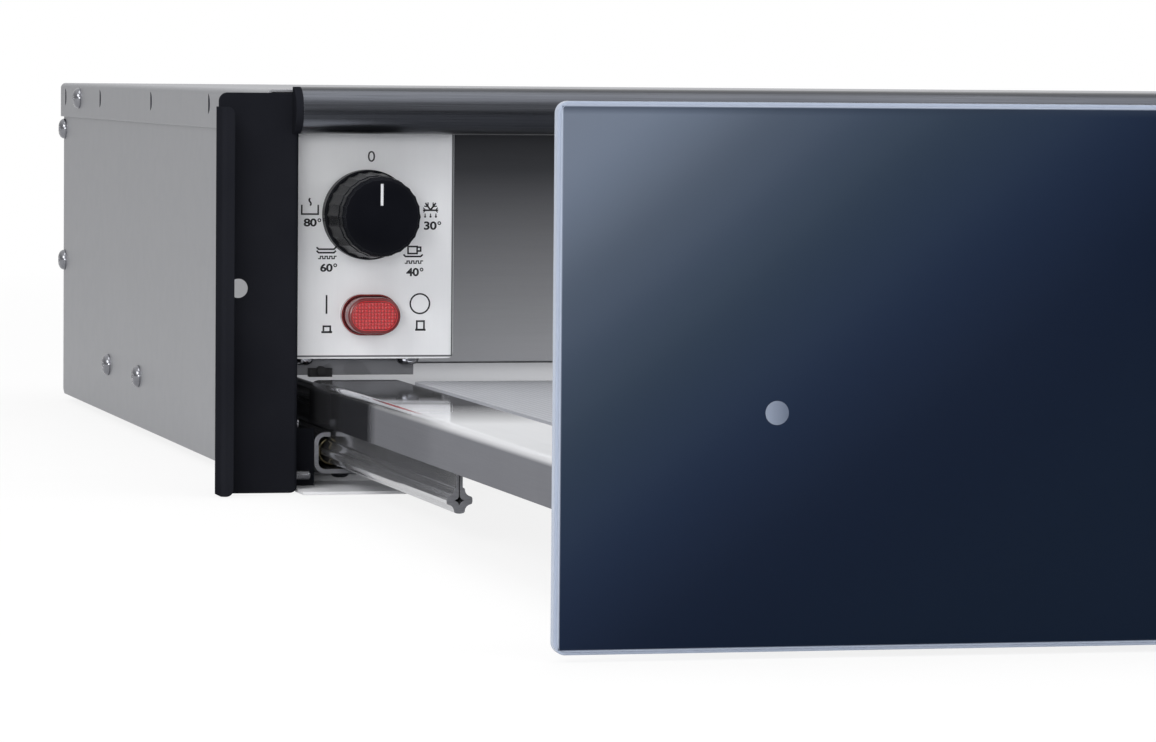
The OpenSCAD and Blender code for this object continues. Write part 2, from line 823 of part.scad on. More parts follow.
module glass_front() {
    color("#1a2236") difference() {
        translate([0, 0, glass_z0 + glass_h / 2]) {
            along_y(glass_y + 0.8, glass_y + glass_t) round_rect(glass_w, glass_h, glass_r);
            along_y(glass_y, glass_y + 1) round_rect(glass_w - 1.6, glass_h - 1.6, glass_r - 0.8);
        }
        rod_y(-lens_x, lens_z, lens_r, glass_y - 1, glass_y + glass_t + 1);
    }
}

module indicator_lens() {
    color("#7f8791") {
        rod_y(-lens_x, lens_z, lens_r, glass_y, glass_y + glass_t);
        rod_y(-lens_x, lens_z, lens_r + 0.9, glass_y + glass_t, glass_y + glass_t + 0.8);
    }
}

// Tongue under the recess that meets the catch with the drawer shut
module latch_striker() {
    striker_y = latch_y - plunger_out - travel - 0.6;
    color("#c6c7ca") along_x(-9, 9) folded([
        [striker_y - sheet / 2, floor_z + 3],
        [striker_y - sheet / 2, rim_z - sheet - recess - sheet / 2],
        [striker_y - 14, rim_z - sheet - recess - sheet / 2]
    ], r = 1.2);
}

module front_screws() {
    color("#c6c7ca") for (x = front_screw_x) translate([x, tray_y0 + sheet, front_screw_z])
        rotate([-90, 0, 0]) scale(0.7) dome_screw(3);
}

side_panel(false);  // side_panel_left
side_panel(true);  // side_panel_right
top_cover();
bottom_panel();
rear_panel();
front_flange(false);  // front_flange_left
front_flange(true);  // front_flange_right
top_bar();
bar_cap(false);  // bar_cap_left
bar_cap(true);  // bar_cap_right
corner_bracket(false);  // corner_bracket_left
corner_bracket(true);  // corner_bracket_right
liner_floor();
liner_back();
liner_side(false);  // liner_side_left
liner_side(true);  // liner_side_right
liner_roof();
control_panel();
blank_panel();
box_base(false);  // box_base_left
box_base(true);  // box_base_right
thermostat();
switch_body();
switch_bezel();
runner_support(false);  // runner_support_left
runner_support(true);  // runner_support_right
rail_fixed(false);  // rail_fixed_left
rail_fixed(true);  // rail_fixed_right
heater();
terminal_block();
cable_gland();
latch_body();
rim_glide(false);  // rim_glide_left
rim_glide(true);  // rim_glide_right
casing_screws();
panel_screws();
flange_screws();
rail_screws();
tray();
mat();
front_carrier();
glass_front();
indicator_lens();
rail_drawer(false);  // rail_drawer_left
rail_drawer(true);  // rail_drawer_right
latch_striker();
front_screws();
rail_middle(false);  // rail_middle_left
rail_middle(true);  // rail_middle_right
cage(false, false);  // cage_lower_left
cage(true, false);  // cage_lower_right
cage(false, true);  // cage_upper_left
cage(true, true);  // cage_upper_right
knob();
thermostat_shaft();
switch_button();
latch_plunger();
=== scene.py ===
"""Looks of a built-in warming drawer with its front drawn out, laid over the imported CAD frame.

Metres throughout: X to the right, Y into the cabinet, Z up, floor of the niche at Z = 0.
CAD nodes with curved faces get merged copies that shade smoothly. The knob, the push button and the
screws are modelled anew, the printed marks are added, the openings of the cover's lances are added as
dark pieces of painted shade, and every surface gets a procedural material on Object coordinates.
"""
import json
import math

import bpy
import bmesh
import numpy as np
from mathutils import Matrix, Vector


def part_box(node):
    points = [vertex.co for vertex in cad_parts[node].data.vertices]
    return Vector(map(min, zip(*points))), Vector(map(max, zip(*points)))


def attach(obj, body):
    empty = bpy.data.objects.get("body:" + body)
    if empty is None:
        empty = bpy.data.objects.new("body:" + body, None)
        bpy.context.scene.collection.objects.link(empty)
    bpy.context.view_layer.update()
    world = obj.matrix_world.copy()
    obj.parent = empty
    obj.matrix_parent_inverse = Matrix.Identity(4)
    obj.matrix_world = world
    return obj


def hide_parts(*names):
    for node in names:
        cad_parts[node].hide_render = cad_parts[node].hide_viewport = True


MM = 0.001
MERGE = 2e-6            # corners nearer than this are one corner
LEVEL = 1e-5            # corners this near are on one level
EDGE_RADIUS = 0.4 * MM  # rounding that the shader gives to sharp edges

GLASS_SHEEN_FADE = 0.26        # way over which the glass's painted sheen fades from its upper left corner
GLASS_BORDER = 1.2 * MM  # ground border round the glass, and half the blur of its inner edge
BORDER_BLUR = 0.2 * MM
GLASS_LINE = 2.2 * MM    # darker line under the border along the top, and half its blur
LINE_BLUR = 1.0 * MM
BEND_REFLECTION_LINE = 0.85 * MM    # painted dark reflection line of the panel's bend, from the edge
ROOF_SHADE_SHARE = 0.72         # share of the cavity's height over which the painted shade under the roof grows

SCREW_SIDES = 48
HEAD_RINGS = 26
SCREW_PITCH = 0.7 * MM
HEAD_BOW = (0.66, 0.9)  # powers of sine and cosine in the head's profile
CROSS_REACH = 0.56      # the cross recess in shares of the head's radius and height
CROSS_HALF = 0.15
CROSS_DEPTH = 0.42
THREAD_DEPTH = 0.17     # share of the shank's radius

PRINT_T = 0.04 * MM
LINE = 0.56             # the printed marks are drawn in millimetres
HEAT_PITCH = 1.62
HEAT_HALF = 0.4

KNOB_COLLAR = 15.5      # radius and depth of the knob's profile in millimetres
KNOB_DEPTH = 28.4
KNOB_SIDES = 96
KNOB_FACETS = 24
FACET_SWELL = 2.2       # how much deeper the facets are than a regular polygon's
POINTER = (3.8, 11.2)   # radii of its line's ends

LANCE_Y = (126.0, 264.0, 402.0, 506.0)  # lances of the cover's flanges in millimetres
LANCE_HALF = 3.8
LANCE_IN = 0.75
LANCE_DROP = 6.0
LANCE_T = 0.06
LANCE_STEPS = 17

CAP_SIDES = 96
LENS_INSET = 1.35 * MM
LENS_PITCH = 1.15 * MM
LENS_DEPTH = 0.2 * MM
LENS_GRID = (150, 240)

FLOOR_HALF = 14.0
FLOOR_Z = -0.4 * MM

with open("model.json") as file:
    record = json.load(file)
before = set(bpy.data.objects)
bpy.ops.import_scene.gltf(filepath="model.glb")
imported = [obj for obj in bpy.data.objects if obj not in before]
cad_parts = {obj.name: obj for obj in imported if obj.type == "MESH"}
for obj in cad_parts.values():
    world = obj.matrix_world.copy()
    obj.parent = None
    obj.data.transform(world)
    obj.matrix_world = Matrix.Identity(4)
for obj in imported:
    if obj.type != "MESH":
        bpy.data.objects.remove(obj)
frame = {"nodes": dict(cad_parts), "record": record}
NODES = frame["nodes"]
BODY_OF = {n: body for body, names in frame["record"]["behaviour"]["bodies"].items() for n in names}
SLOT_OF = {row["node"]: row["material_slot"] for row in frame["record"]["subparts"]}
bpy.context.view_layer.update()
PANEL_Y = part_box("control_panel")[0].y
KNOB_LOW, KNOB_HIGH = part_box("knob")
KNOB_X = (KNOB_LOW.x + KNOB_HIGH.x) / 2
KNOB_Z = (KNOB_LOW.z + KNOB_HIGH.z) / 2


# ---------------------------------------------------------------- colours and node trees

def srgb(code):
    """Linear colour of a #rrggbb code, from the sRGB curve."""
    parts = [int(code[i:i + 2], 16) / 255 for i in (1, 3, 5)]
    return [p / 12.92 if p <= 0.04045 else ((p + 0.055) / 1.055) ** 2.4 for p in parts] + [1.0]


def feed(tree, socket, value):
    """Links an input to another node's socket, or sets its value."""
    if isinstance(value, bpy.types.NodeSocket):
        tree.links.new(value, socket)
    else:
        socket.default_value = value


def add(tree, kind, inputs=None, **settings):
    """Adds one node; inputs maps a socket's name or number to a value or to another node's socket."""
    node = tree.nodes.new("ShaderNode" + kind)
    for key, value in settings.items():
        setattr(node, key, value)
    for key, value in (inputs or {}).items():
        feed(tree, node.inputs[key], value)
    return node


def math_node(tree, operation, a, b=0.0, clamp=False):
    """One Math node's result."""
    return add(tree, "Math", {0: a, 1: b}, operation=operation, use_clamp=clamp).outputs[0]


def mix_colour(tree, factor, a, b):
    """Mix of two colours, through the Mix node's factor and colour sockets."""
    node = add(tree, "Mix", data_type="RGBA", clamp_factor=True)
    for index, value in ((0, factor), (6, a), (7, b)):
        feed(tree, node.inputs[index], value)
    return node.outputs[2]


def spread(tree, value, low, high, to_low=0.0, to_high=1.0):
    """Maps a value from one range to another and clamps it."""
    return add(tree, "MapRange", {0: value, 1: low, 2: high, 3: to_low, 4: to_high}, clamp=True).outputs[0]


def coordinate(tree, kind="Object", axis=None):
    """Texture coordinate of one kind, or one of its components."""
    socket = add(tree, "TexCoord").outputs[kind]
    return add(tree, "SeparateXYZ", {0: socket}).outputs[axis] if axis else socket


def relief(tree, height, distance, strength, normal):
    """Normal bent by a height that stands up to the distance in metres."""
    return add(tree, "Bump", {"Strength": strength, "Distance": distance, "Height": height,
                              "Normal": normal}).outputs[0]


def dulled(tree, rough, soiling, share):
    """Roughness raised by a share of the soiling mask."""
    return math_node(tree, "ADD", rough, math_node(tree, "MULTIPLY", soiling, share))


def new_group(name, ins, outs):
    """Empty shader group with named sockets. ins and outs are lists of (name, kind, default)."""
    group = bpy.data.node_groups.new(name, "ShaderNodeTree")
    for where, rows in (("INPUT", ins), ("OUTPUT", outs)):
        for label, kind, default in rows:
            socket = group.interface.new_socket(label, in_out=where, socket_type="NodeSocket" + kind)
            if default is not None:
                socket.default_value = default
    return group, group.nodes.new("NodeGroupInput").outputs, group.nodes.new("NodeGroupOutput")


def closing(group, out, **values):
    """Links each value to the group's output of that name and returns the group."""
    for label, value in values.items():
        group.links.new(value, out.inputs[label])
    return group


def group_brushed():
    """Fine parallel scratches: noise squeezed across the rolling direction, as a tone and as a bump."""
    g, inp, out = new_group("brushed", [("Stretch", "Vector", (1, 60, 60)), ("Depth", "Float", 0.1),
                                        ("Normal", "Vector", None)],
                            [("Tone", "Float", None), ("Normal", "Vector", None)])
    scaled = add(g, "VectorMath", {0: coordinate(g), 1: inp["Stretch"]}, operation="MULTIPLY").outputs[0]
    fine = add(g, "TexNoise", {"Vector": scaled, "Scale": 40.0, "Detail": 3.0, "Roughness": 0.65}).outputs[0]
    broad = add(g, "TexNoise", {"Vector": scaled, "Scale": 7.0, "Detail": 2.0}).outputs[0]
    tone = math_node(g, "ADD", math_node(g, "MULTIPLY", fine, 0.65), math_node(g, "MULTIPLY", broad, 0.35))
    return closing(g, out, Tone=tone, Normal=relief(g, fine, 0.06 * MM, inp["Depth"], inp["Normal"]))


def group_edge():
    """Rounded edges: the bevelled normal, and a mask from how far it turns away from the face. The mask
    places edge wear and painted edge light.
    """
    g, inp, out = new_group("edge", [("Radius", "Float", EDGE_RADIUS), ("Reach", "Float", 3.0)],
                            [("Mask", "Float", None), ("Normal", "Vector", None)])
    bevel = add(g, "Bevel", {"Radius": inp["Radius"]}, samples=4).outputs[0]
    face = add(g, "NewGeometry").outputs["True Normal"]
    along = add(g, "VectorMath", {0: bevel, 1: face}, operation="DOT_PRODUCT").outputs["Value"]
    turned = math_node(g, "SUBTRACT", 1.0, math_node(g, "ABSOLUTE", along))
    scratchy = add(g, "TexNoise", {"Vector": coordinate(g), "Scale": 160.0, "Detail": 3.0}).outputs[0]
    edge_wear_and_painted_light = math_node(g, "MULTIPLY", math_node(g, "MULTIPLY", turned, inp["Reach"]),
                     spread(g, scratchy, 0.3, 0.7, 0.35, 1.0), clamp=True)
    return closing(g, out, Mask=edge_wear_and_painted_light, Normal=bevel)


def group_soiling():
    """Handling marks and faint dust: two soft noises multiplied, from 0 where clean to 1 where dull."""
    g, inp, out = new_group("soiling", [("Scale", "Float", 9.0), ("Amount", "Float", 0.5)],
                            [("Mask", "Float", None)])
    point = coordinate(g)
    broad = add(g, "TexNoise", {"Vector": point, "Scale": inp["Scale"], "Detail": 4.0,
                                "Distortion": 0.6}).outputs[0]
    small = add(g, "TexNoise", {"Vector": point, "Scale": 140.0, "Detail": 2.0}).outputs[0]
    mask = math_node(g, "MULTIPLY", spread(g, broad, 0.38, 0.68), spread(g, small, 0.2, 0.8, 0.6, 1.0))
    return closing(g, out, Mask=math_node(g, "MULTIPLY", mask, inp["Amount"]))


def group_spangle():
    """Zinc crystals: cells of a few millimetres, each with its own tone and a slightly tilted normal."""
    g, inp, out = new_group("spangle", [("Size", "Float", 170.0), ("Depth", "Float", 0.05),
                                        ("Normal", "Vector", None)],
                            [("Tone", "Float", None), ("Normal", "Vector", None)])
    point = coordinate(g)
    warp = add(g, "TexNoise", {"Vector": point, "Scale": 60.0, "Detail": 2.0}).outputs["Color"]
    moved = add(g, "VectorMath", {0: warp, 1: (0.006, 0.006, 0.006), 2: point},
                operation="MULTIPLY_ADD").outputs[0]
    cells = add(g, "TexVoronoi", {"Vector": moved, "Scale": inp["Size"]}, feature="F1")
    tone = add(g, "SeparateColor", {0: cells.outputs["Color"]}).outputs[0]
    return closing(g, out, Tone=tone, Normal=relief(g, tone, 0.2 * MM, inp["Depth"], inp["Normal"]))


def group_moulded():
    """Spark-eroded grain of moulded plastic: fine cells with soft tops as a bump, and a broad tone."""
    g, inp, out = new_group("moulded", [("Fineness", "Float", 2600.0), ("Depth", "Float", 0.2),
                                        ("Normal", "Vector", None)],
                            [("Tone", "Float", None), ("Normal", "Vector", None)])
    point = coordinate(g)
    grain = add(g, "TexNoise", {"Vector": point, "Scale": inp["Fineness"], "Detail": 2.0}).outputs[0]
    flow = add(g, "TexNoise", {"Vector": point, "Scale": 30.0, "Detail": 3.0}).outputs[0]
    return closing(g, out, Tone=flow, Normal=relief(g, grain, 0.05 * MM, inp["Depth"], inp["Normal"]))


GROUPS = {"brushed": group_brushed(), "edge": group_edge(), "soiling": group_soiling(),
          "spangle": group_spangle(), "moulded": group_moulded()}


def use(tree, name, **values):
    """Places a shared group in a material with its own values."""
    node = tree.nodes.new("ShaderNodeGroup")
    node.node_tree = GROUPS[name]
    for key, value in values.items():
        feed(tree, node.inputs[key], value)
    return node


def blank(name):
    """New material with one Principled BSDF, returned with its tree and shader."""
    material = bpy.data.materials.new(name)
    material.use_nodes = True
    tree = material.node_tree
    return material, tree, tree.nodes["Principled BSDF"]


def wire(tree, shader, colour, rough, normal=None, **others):
    """Feeds the shader's main sockets, and others by their names in small letters."""
    feed(tree, shader.inputs["Base Color"], colour)
    feed(tree, shader.inputs["Roughness"], rough)
    if normal is not None:
        feed(tree, shader.inputs["Normal"], normal)
    for label, value in others.items():
        feed(tree, shader.inputs[label.replace("_", " ").title().replace("Ior", "IOR")], value)


def metal(name, dark, light, rough, stretch=(1, 60, 60), depth=0.08, spangle=0.0, edge_wear_and_painted_highlight=None,
          metallic=1.0, soil=0.35, gloss=0.3, vary=0.15):
    """Sheet or drawn metal: tone between two greys from grain or zinc crystals, with edges coloured as wear
    and painted highlight. The roughness varies by a share of itself with the same tone."""
    material, tree, shader = blank(name)
    edge = use(tree, "edge", Radius=EDGE_RADIUS, Reach=2.5)
    if spangle:
        grain = use(tree, "spangle", Depth=spangle, Normal=edge.outputs["Normal"])
    else:
        grain = use(tree, "brushed", Stretch=stretch, Depth=depth, Normal=edge.outputs["Normal"])
    soiling = use(tree, "soiling", Amount=soil).outputs["Mask"]
    colour = mix_colour(tree, grain.outputs["Tone"], srgb(dark), srgb(light))
    colour = mix_colour(tree, math_node(tree, "MULTIPLY", soiling, 0.35), colour, srgb(dark))
    # edge colour: partly wear, partly a painted highlight of the rounded edges
    if edge_wear_and_painted_highlight:
        colour = mix_colour(tree, edge.outputs["Mask"], colour, srgb(edge_wear_and_painted_highlight))
    satin = spread(tree, grain.outputs["Tone"], 0.25, 0.75, rough * (1 - vary), rough * (1 + vary))
    wire(tree, shader, colour, dulled(tree, satin, soiling, 0.12), grain.outputs["Normal"],
         metallic=metallic, specular_ior_level=gloss)
    return material


def plastic(name, base, other, rough, grain=0.2, fineness=2600.0, edge_wear_and_painted_highlight=None, radius=EDGE_RADIUS,
            coat=0.0, gloss=0.35):
    """Moulded or painted surface: two close tones, fine grain, dulled where it is handled."""
    material, tree, shader = blank(name)
    edge = use(tree, "edge", Radius=radius, Reach=2.0)
    mould = use(tree, "moulded", Fineness=fineness, Depth=grain, Normal=edge.outputs["Normal"])
    soiling = use(tree, "soiling", Amount=0.5).outputs["Mask"]
    colour = mix_colour(tree, spread(tree, mould.outputs["Tone"], 0.3, 0.7), srgb(base), srgb(other))
    # edge colour: partly wear, partly a painted highlight of the rounded edges
    if edge_wear_and_painted_highlight:
        colour = mix_colour(tree, edge.outputs["Mask"], colour, srgb(edge_wear_and_painted_highlight))
    satin = spread(tree, mould.outputs["Tone"], 0.3, 0.7, rough * 0.9, rough * 1.1)
    wire(tree, shader, colour, dulled(tree, satin, soiling, 0.1), mould.outputs["Normal"],
         coat_weight=coat, specular_ior_level=gloss)
    return material


def glass_blue():
    """Back-coloured glass: navy with a painted sheen of reflected light at its upper left corner. A pale
    ground border runs round the face and over the sides, with a darker line inside it along the top."""
    material, tree, shader = blank("glass_blue")
    low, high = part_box("glass_front")
    across, upward = coordinate(tree, axis="X"), coordinate(tree, axis="Z")
    from_left = math_node(tree, "SUBTRACT", across, low.x)
    from_right = math_node(tree, "SUBTRACT", high.x, across)
    from_top = math_node(tree, "SUBTRACT", high.z, upward)
    from_foot = math_node(tree, "SUBTRACT", upward, low.z)
    # painted sheen: lightest at the upper left corner, darkening to navy away from it, in place of a
    # reflected light
    sheen_distance = math_node(tree, "ADD", from_left, math_node(tree, "MULTIPLY", from_top, 1.25))
    cloud = add(tree, "TexNoise", {"Vector": coordinate(tree), "Scale": 5.0, "Detail": 1.0}).outputs[0]
    sheen_distance = math_node(tree, "ADD", sheen_distance, spread(tree, cloud, 0.3, 0.7, -6 * MM, 6 * MM))
    ramp = add(tree, "ValToRGB", {0: math_node(tree, "DIVIDE", sheen_distance, GLASS_SHEEN_FADE, clamp=True)})
    stops = ramp.color_ramp.elements
    stops[0].color = srgb("#646c7a")
    stops[1].color = srgb("#0c1727")
    for at, code in ((0.1, "#5e6776"), (0.2, "#4a5361"), (0.3, "#3a4453"), (0.4, "#2b3645"),
                     (0.55, "#1d283b"), (0.72, "#101a2c")):
        stops.new(at).color = srgb(code)
    ramp.color_ramp.interpolation = "CARDINAL"
    shade_line = spread(tree, from_top, GLASS_LINE + LINE_BLUR, GLASS_LINE - LINE_BLUR, 0.0, 0.75)
    colour = mix_colour(tree, shade_line, ramp.outputs[0], srgb("#293241"))
    nearest = math_node(tree, "MINIMUM", math_node(tree, "MINIMUM", from_left, from_right),
                        math_node(tree, "MINIMUM", from_top, from_foot))
    border = spread(tree, nearest, GLASS_BORDER + BORDER_BLUR, GLASS_BORDER - BORDER_BLUR)
    side = spread(tree, math_node(tree, "ABSOLUTE", coordinate(tree, "Normal", "Y")), 0.9, 0.6)
    colour = mix_colour(tree, math_node(tree, "MAXIMUM", border, side), colour, srgb("#a4adbe"))
    soiling = use(tree, "soiling", Scale=4.0, Amount=0.3).outputs["Mask"]
    edge = use(tree, "edge", Radius=0.6 * MM, Reach=2.0)
    wire(tree, shader, colour, dulled(tree, 0.05, soiling, 0.05), edge.outputs["Normal"],
         specular_ior_level=0.05)
    return material


def runner_zinc():
    """Bright zinc of the runners, drawn along their length. Their cut ends are rougher and painted darker as
    shade, and their edges carry a painted dark outline.
    """
    material, tree, shader = blank("runner_zinc")
    edge = use(tree, "edge", Radius=0.25 * MM, Reach=3.0)
    grain = use(tree, "brushed", Stretch=(60, 0.8, 60), Depth=0.1, Normal=edge.outputs["Normal"])
    end_face = spread(tree, math_node(tree, "ABSOLUTE", coordinate(tree, "Normal", "Y")), 0.8, 0.95)
    saw = use(tree, "brushed", Stretch=(12, 60, 60), Depth=0.4, Normal=edge.outputs["Normal"])
    side = mix_colour(tree, grain.outputs["Tone"], srgb("#a4a5aa"), srgb("#cfd0d4"))
    # painted shade: the ends facing along the rail are a darker copy of the zinc
    end = mix_colour(tree, saw.outputs["Tone"], srgb("#5b5c61"), srgb("#95969b"))
    colour = mix_colour(tree, end_face, side, end)
    # painted shade: the edges are darkened into a dark outline
    edge_wear_and_painted_light = math_node(tree, "MULTIPLY", edge.outputs["Mask"], 0.7)
    colour = mix_colour(tree, edge_wear_and_painted_light, colour, srgb("#3d3e43"))
    soiling = use(tree, "soiling", Amount=0.2).outputs["Mask"]
    rough = dulled(tree, spread(tree, end_face, 0.0, 1.0, 0.1, 0.42), soiling, 0.15)
    wire(tree, shader, colour, rough, grain.outputs["Normal"], metallic=0.7)
    return material


def panel_steel():
    """Satin panel face, brushed up and down, with a painted dark reflection line along its bend at the foot
    and the inner side."""
    material, tree, shader = blank("panel_steel")
    low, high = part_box("control_panel")
    edge = use(tree, "edge", Radius=EDGE_RADIUS, Reach=2.5)
    grain = use(tree, "brushed", Stretch=(60, 60, 3.0), Depth=0.01, Normal=edge.outputs["Normal"])
    soiling = use(tree, "soiling", Amount=0.1).outputs["Mask"]
    colour = mix_colour(tree, grain.outputs["Tone"], srgb("#eeeff2"), srgb("#f4f5f7"))
    from_foot = math_node(tree, "SUBTRACT", coordinate(tree, axis="Z"), low.z)
    from_middle = math_node(tree, "ABSOLUTE", coordinate(tree, axis="X"))
    from_side = math_node(tree, "SUBTRACT", from_middle, abs(high.x))
    nearest = math_node(tree, "MINIMUM", from_foot, from_side)
    # painted reflection: a dark line where the bend mirrors dark surroundings
    apart = math_node(tree, "ABSOLUTE", math_node(tree, "SUBTRACT", nearest, BEND_REFLECTION_LINE))
    line = spread(tree, apart, 0.42 * MM, 0.2 * MM, 0.0, 0.9)
    colour = mix_colour(tree, line, colour, srgb("#3a3b40"))
    rough = dulled(tree, spread(tree, grain.outputs["Tone"], 0.25, 0.75, 0.3, 0.38), soiling, 0.12)
    wire(tree, shader, colour, rough, grain.outputs["Normal"], metallic=0.2, specular_ior_level=0.3)
    return material


def cavity_steel():
    """Steel of the cavity's walls and roof, drawn across, with painted shade that darkens it towards the
    roof.
    """
    material, tree, shader = blank("cavity_steel")
    low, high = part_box("liner_back")
    edge = use(tree, "edge", Radius=EDGE_RADIUS, Reach=2.5)
    grain = use(tree, "brushed", Stretch=(1, 60, 60), Depth=0.06, Normal=edge.outputs["Normal"])
    # painted shade: the walls darken towards the roof, which shades them
    heat = spread(tree, coordinate(tree, axis="Z"), low.z, low.z + ROOF_SHADE_SHARE * (high.z - low.z))
    clean = mix_colour(tree, grain.outputs["Tone"], srgb("#b4b5b9"), srgb("#c0c1c5"))
    roof_shaded = mix_colour(tree, grain.outputs["Tone"], srgb("#4e4f53"), srgb("#57585c"))
    soiling = use(tree, "soiling", Amount=0.2).outputs["Mask"]
    colour = mix_colour(tree, heat, clean, roof_shaded)
    colour = mix_colour(tree, math_node(tree, "MULTIPLY", soiling, 0.3), colour, srgb("#5a5b5f"))
    wire(tree, shader, colour, dulled(tree, 0.28, soiling, 0.15), grain.outputs["Normal"], metallic=0.3,
         specular_ior_level=0.05)
    return material


def tray_mirror():
    """Polished rim and recess of the tray, more mirror-like towards the back and satin towards the front.
    Its upright sides are a darker copy of the steel as painted shade, drawn along their length, and satin in
    front of the cavity."""
    material, tree, shader = blank("tray_mirror")
    edge = use(tree, "edge", Radius=EDGE_RADIUS, Reach=2.0)
    grain = use(tree, "brushed", Stretch=(60, 0.8, 60), Depth=0.012, Normal=edge.outputs["Normal"])
    upright = spread(tree, math_node(tree, "ABSOLUTE", coordinate(tree, "Normal", "Z")), 0.75, 0.25)
    rim = mix_colour(tree, grain.outputs["Tone"], srgb("#e0e1e4"), srgb("#eaebed"))
    # painted shade: the upright sides are a darker copy of the rim's steel
    shaded_skirt = mix_colour(tree, grain.outputs["Tone"], srgb("#6a6b70"), srgb("#76777c"))
    soiling = use(tree, "soiling", Amount=0.1).outputs["Mask"]
    colour = mix_colour(tree, soiling, mix_colour(tree, upright, rim, shaded_skirt), srgb("#8b8c91"))
    rough = dulled(tree, spread(tree, upright, 0.0, 1.0, 0.04, 0.07), soiling, 0.1)
    along = coordinate(tree, axis="Y")
    on_rim = math_node(tree, "MULTIPLY", spread(tree, along, -0.21, -0.12, 0.28, 0.97),
                       math_node(tree, "SUBTRACT", 1.0, upright))
    on_skirt = math_node(tree, "MULTIPLY", spread(tree, along, -0.1, -0.085, 0.12, 0.9), upright)
    polish = math_node(tree, "ADD", on_rim, on_skirt)
    wire(tree, shader, colour, rough, grain.outputs["Normal"], metallic=polish, specular_ior_level=0.0,
         specular_tint=srgb("#dddde0"))
    return material


def mat_grey():
    """Grey rubbery mat with a close grid of small round studs, flatter and paler on their tops."""
    material, tree, shader = blank("mat_grey")
    flat = add(tree, "VectorMath", {0: coordinate(tree), 1: (1, 1, 0)}, operation="MULTIPLY").outputs[0]
    cells = add(tree, "TexVoronoi", {"Vector": flat, "Scale": 420.0, "Randomness": 0.0}, feature="F1")
    stud = spread(tree, cells.outputs["Distance"], 0.42, 0.22)
    mould = use(tree, "moulded", Fineness=1800.0, Depth=0.25)
    colour = mix_colour(tree, mould.outputs["Tone"], srgb("#93959b"), srgb("#a2a4aa"))
    colour = mix_colour(tree, math_node(tree, "MULTIPLY", stud, 0.5), colour, srgb("#b9bbc1"))
    studs = relief(tree, stud, 0.3 * MM, 0.6, mould.outputs["Normal"])
    wire(tree, shader, colour, spread(tree, stud, 0.0, 1.0, 0.7, 0.5), studs)
    return material


def lens_clear():
    """Frosted light-guide of the indicator, cloudier towards one side."""
    material, tree, shader = blank("lens_clear")
    mould = use(tree, "moulded", Fineness=1500.0, Depth=0.15)
    low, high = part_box("indicator_lens")
    across = spread(tree, coordinate(tree, axis="X"), low.x, high.x)
    colour = mix_colour(tree, across, srgb("#828b9c"), srgb("#515a6b"))
    wire(tree, shader, colour, 0.3, mould.outputs["Normal"], specular_ior_level=0.2)
    return material


def button_red():
    """Translucent red polycarbonate, painted darker in the grid's valleys as shade."""
    material, tree, shader = blank("button_red")
    edge = use(tree, "edge", Radius=EDGE_RADIUS, Reach=3.0)
    mould = use(tree, "moulded", Fineness=2200.0, Depth=0.1, Normal=edge.outputs["Normal"])
    colour = mix_colour(tree, mould.outputs["Tone"], srgb("#b81f25"), srgb("#c6282e"))
    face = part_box("switch_button")[0].y
    # painted shade: the lens grid's valleys are darkened by their depth
    valley_shade = spread(tree, coordinate(tree, axis="Y"), face + 0.4 * LENS_DEPTH, face + LENS_DEPTH)
    colour = mix_colour(tree, math_node(tree, "MULTIPLY", valley_shade, 0.9), colour, srgb("#5d0f13"))
    wire(tree, shader, colour, 0.3, mould.outputs["Normal"], coat_weight=0.25)
    return material


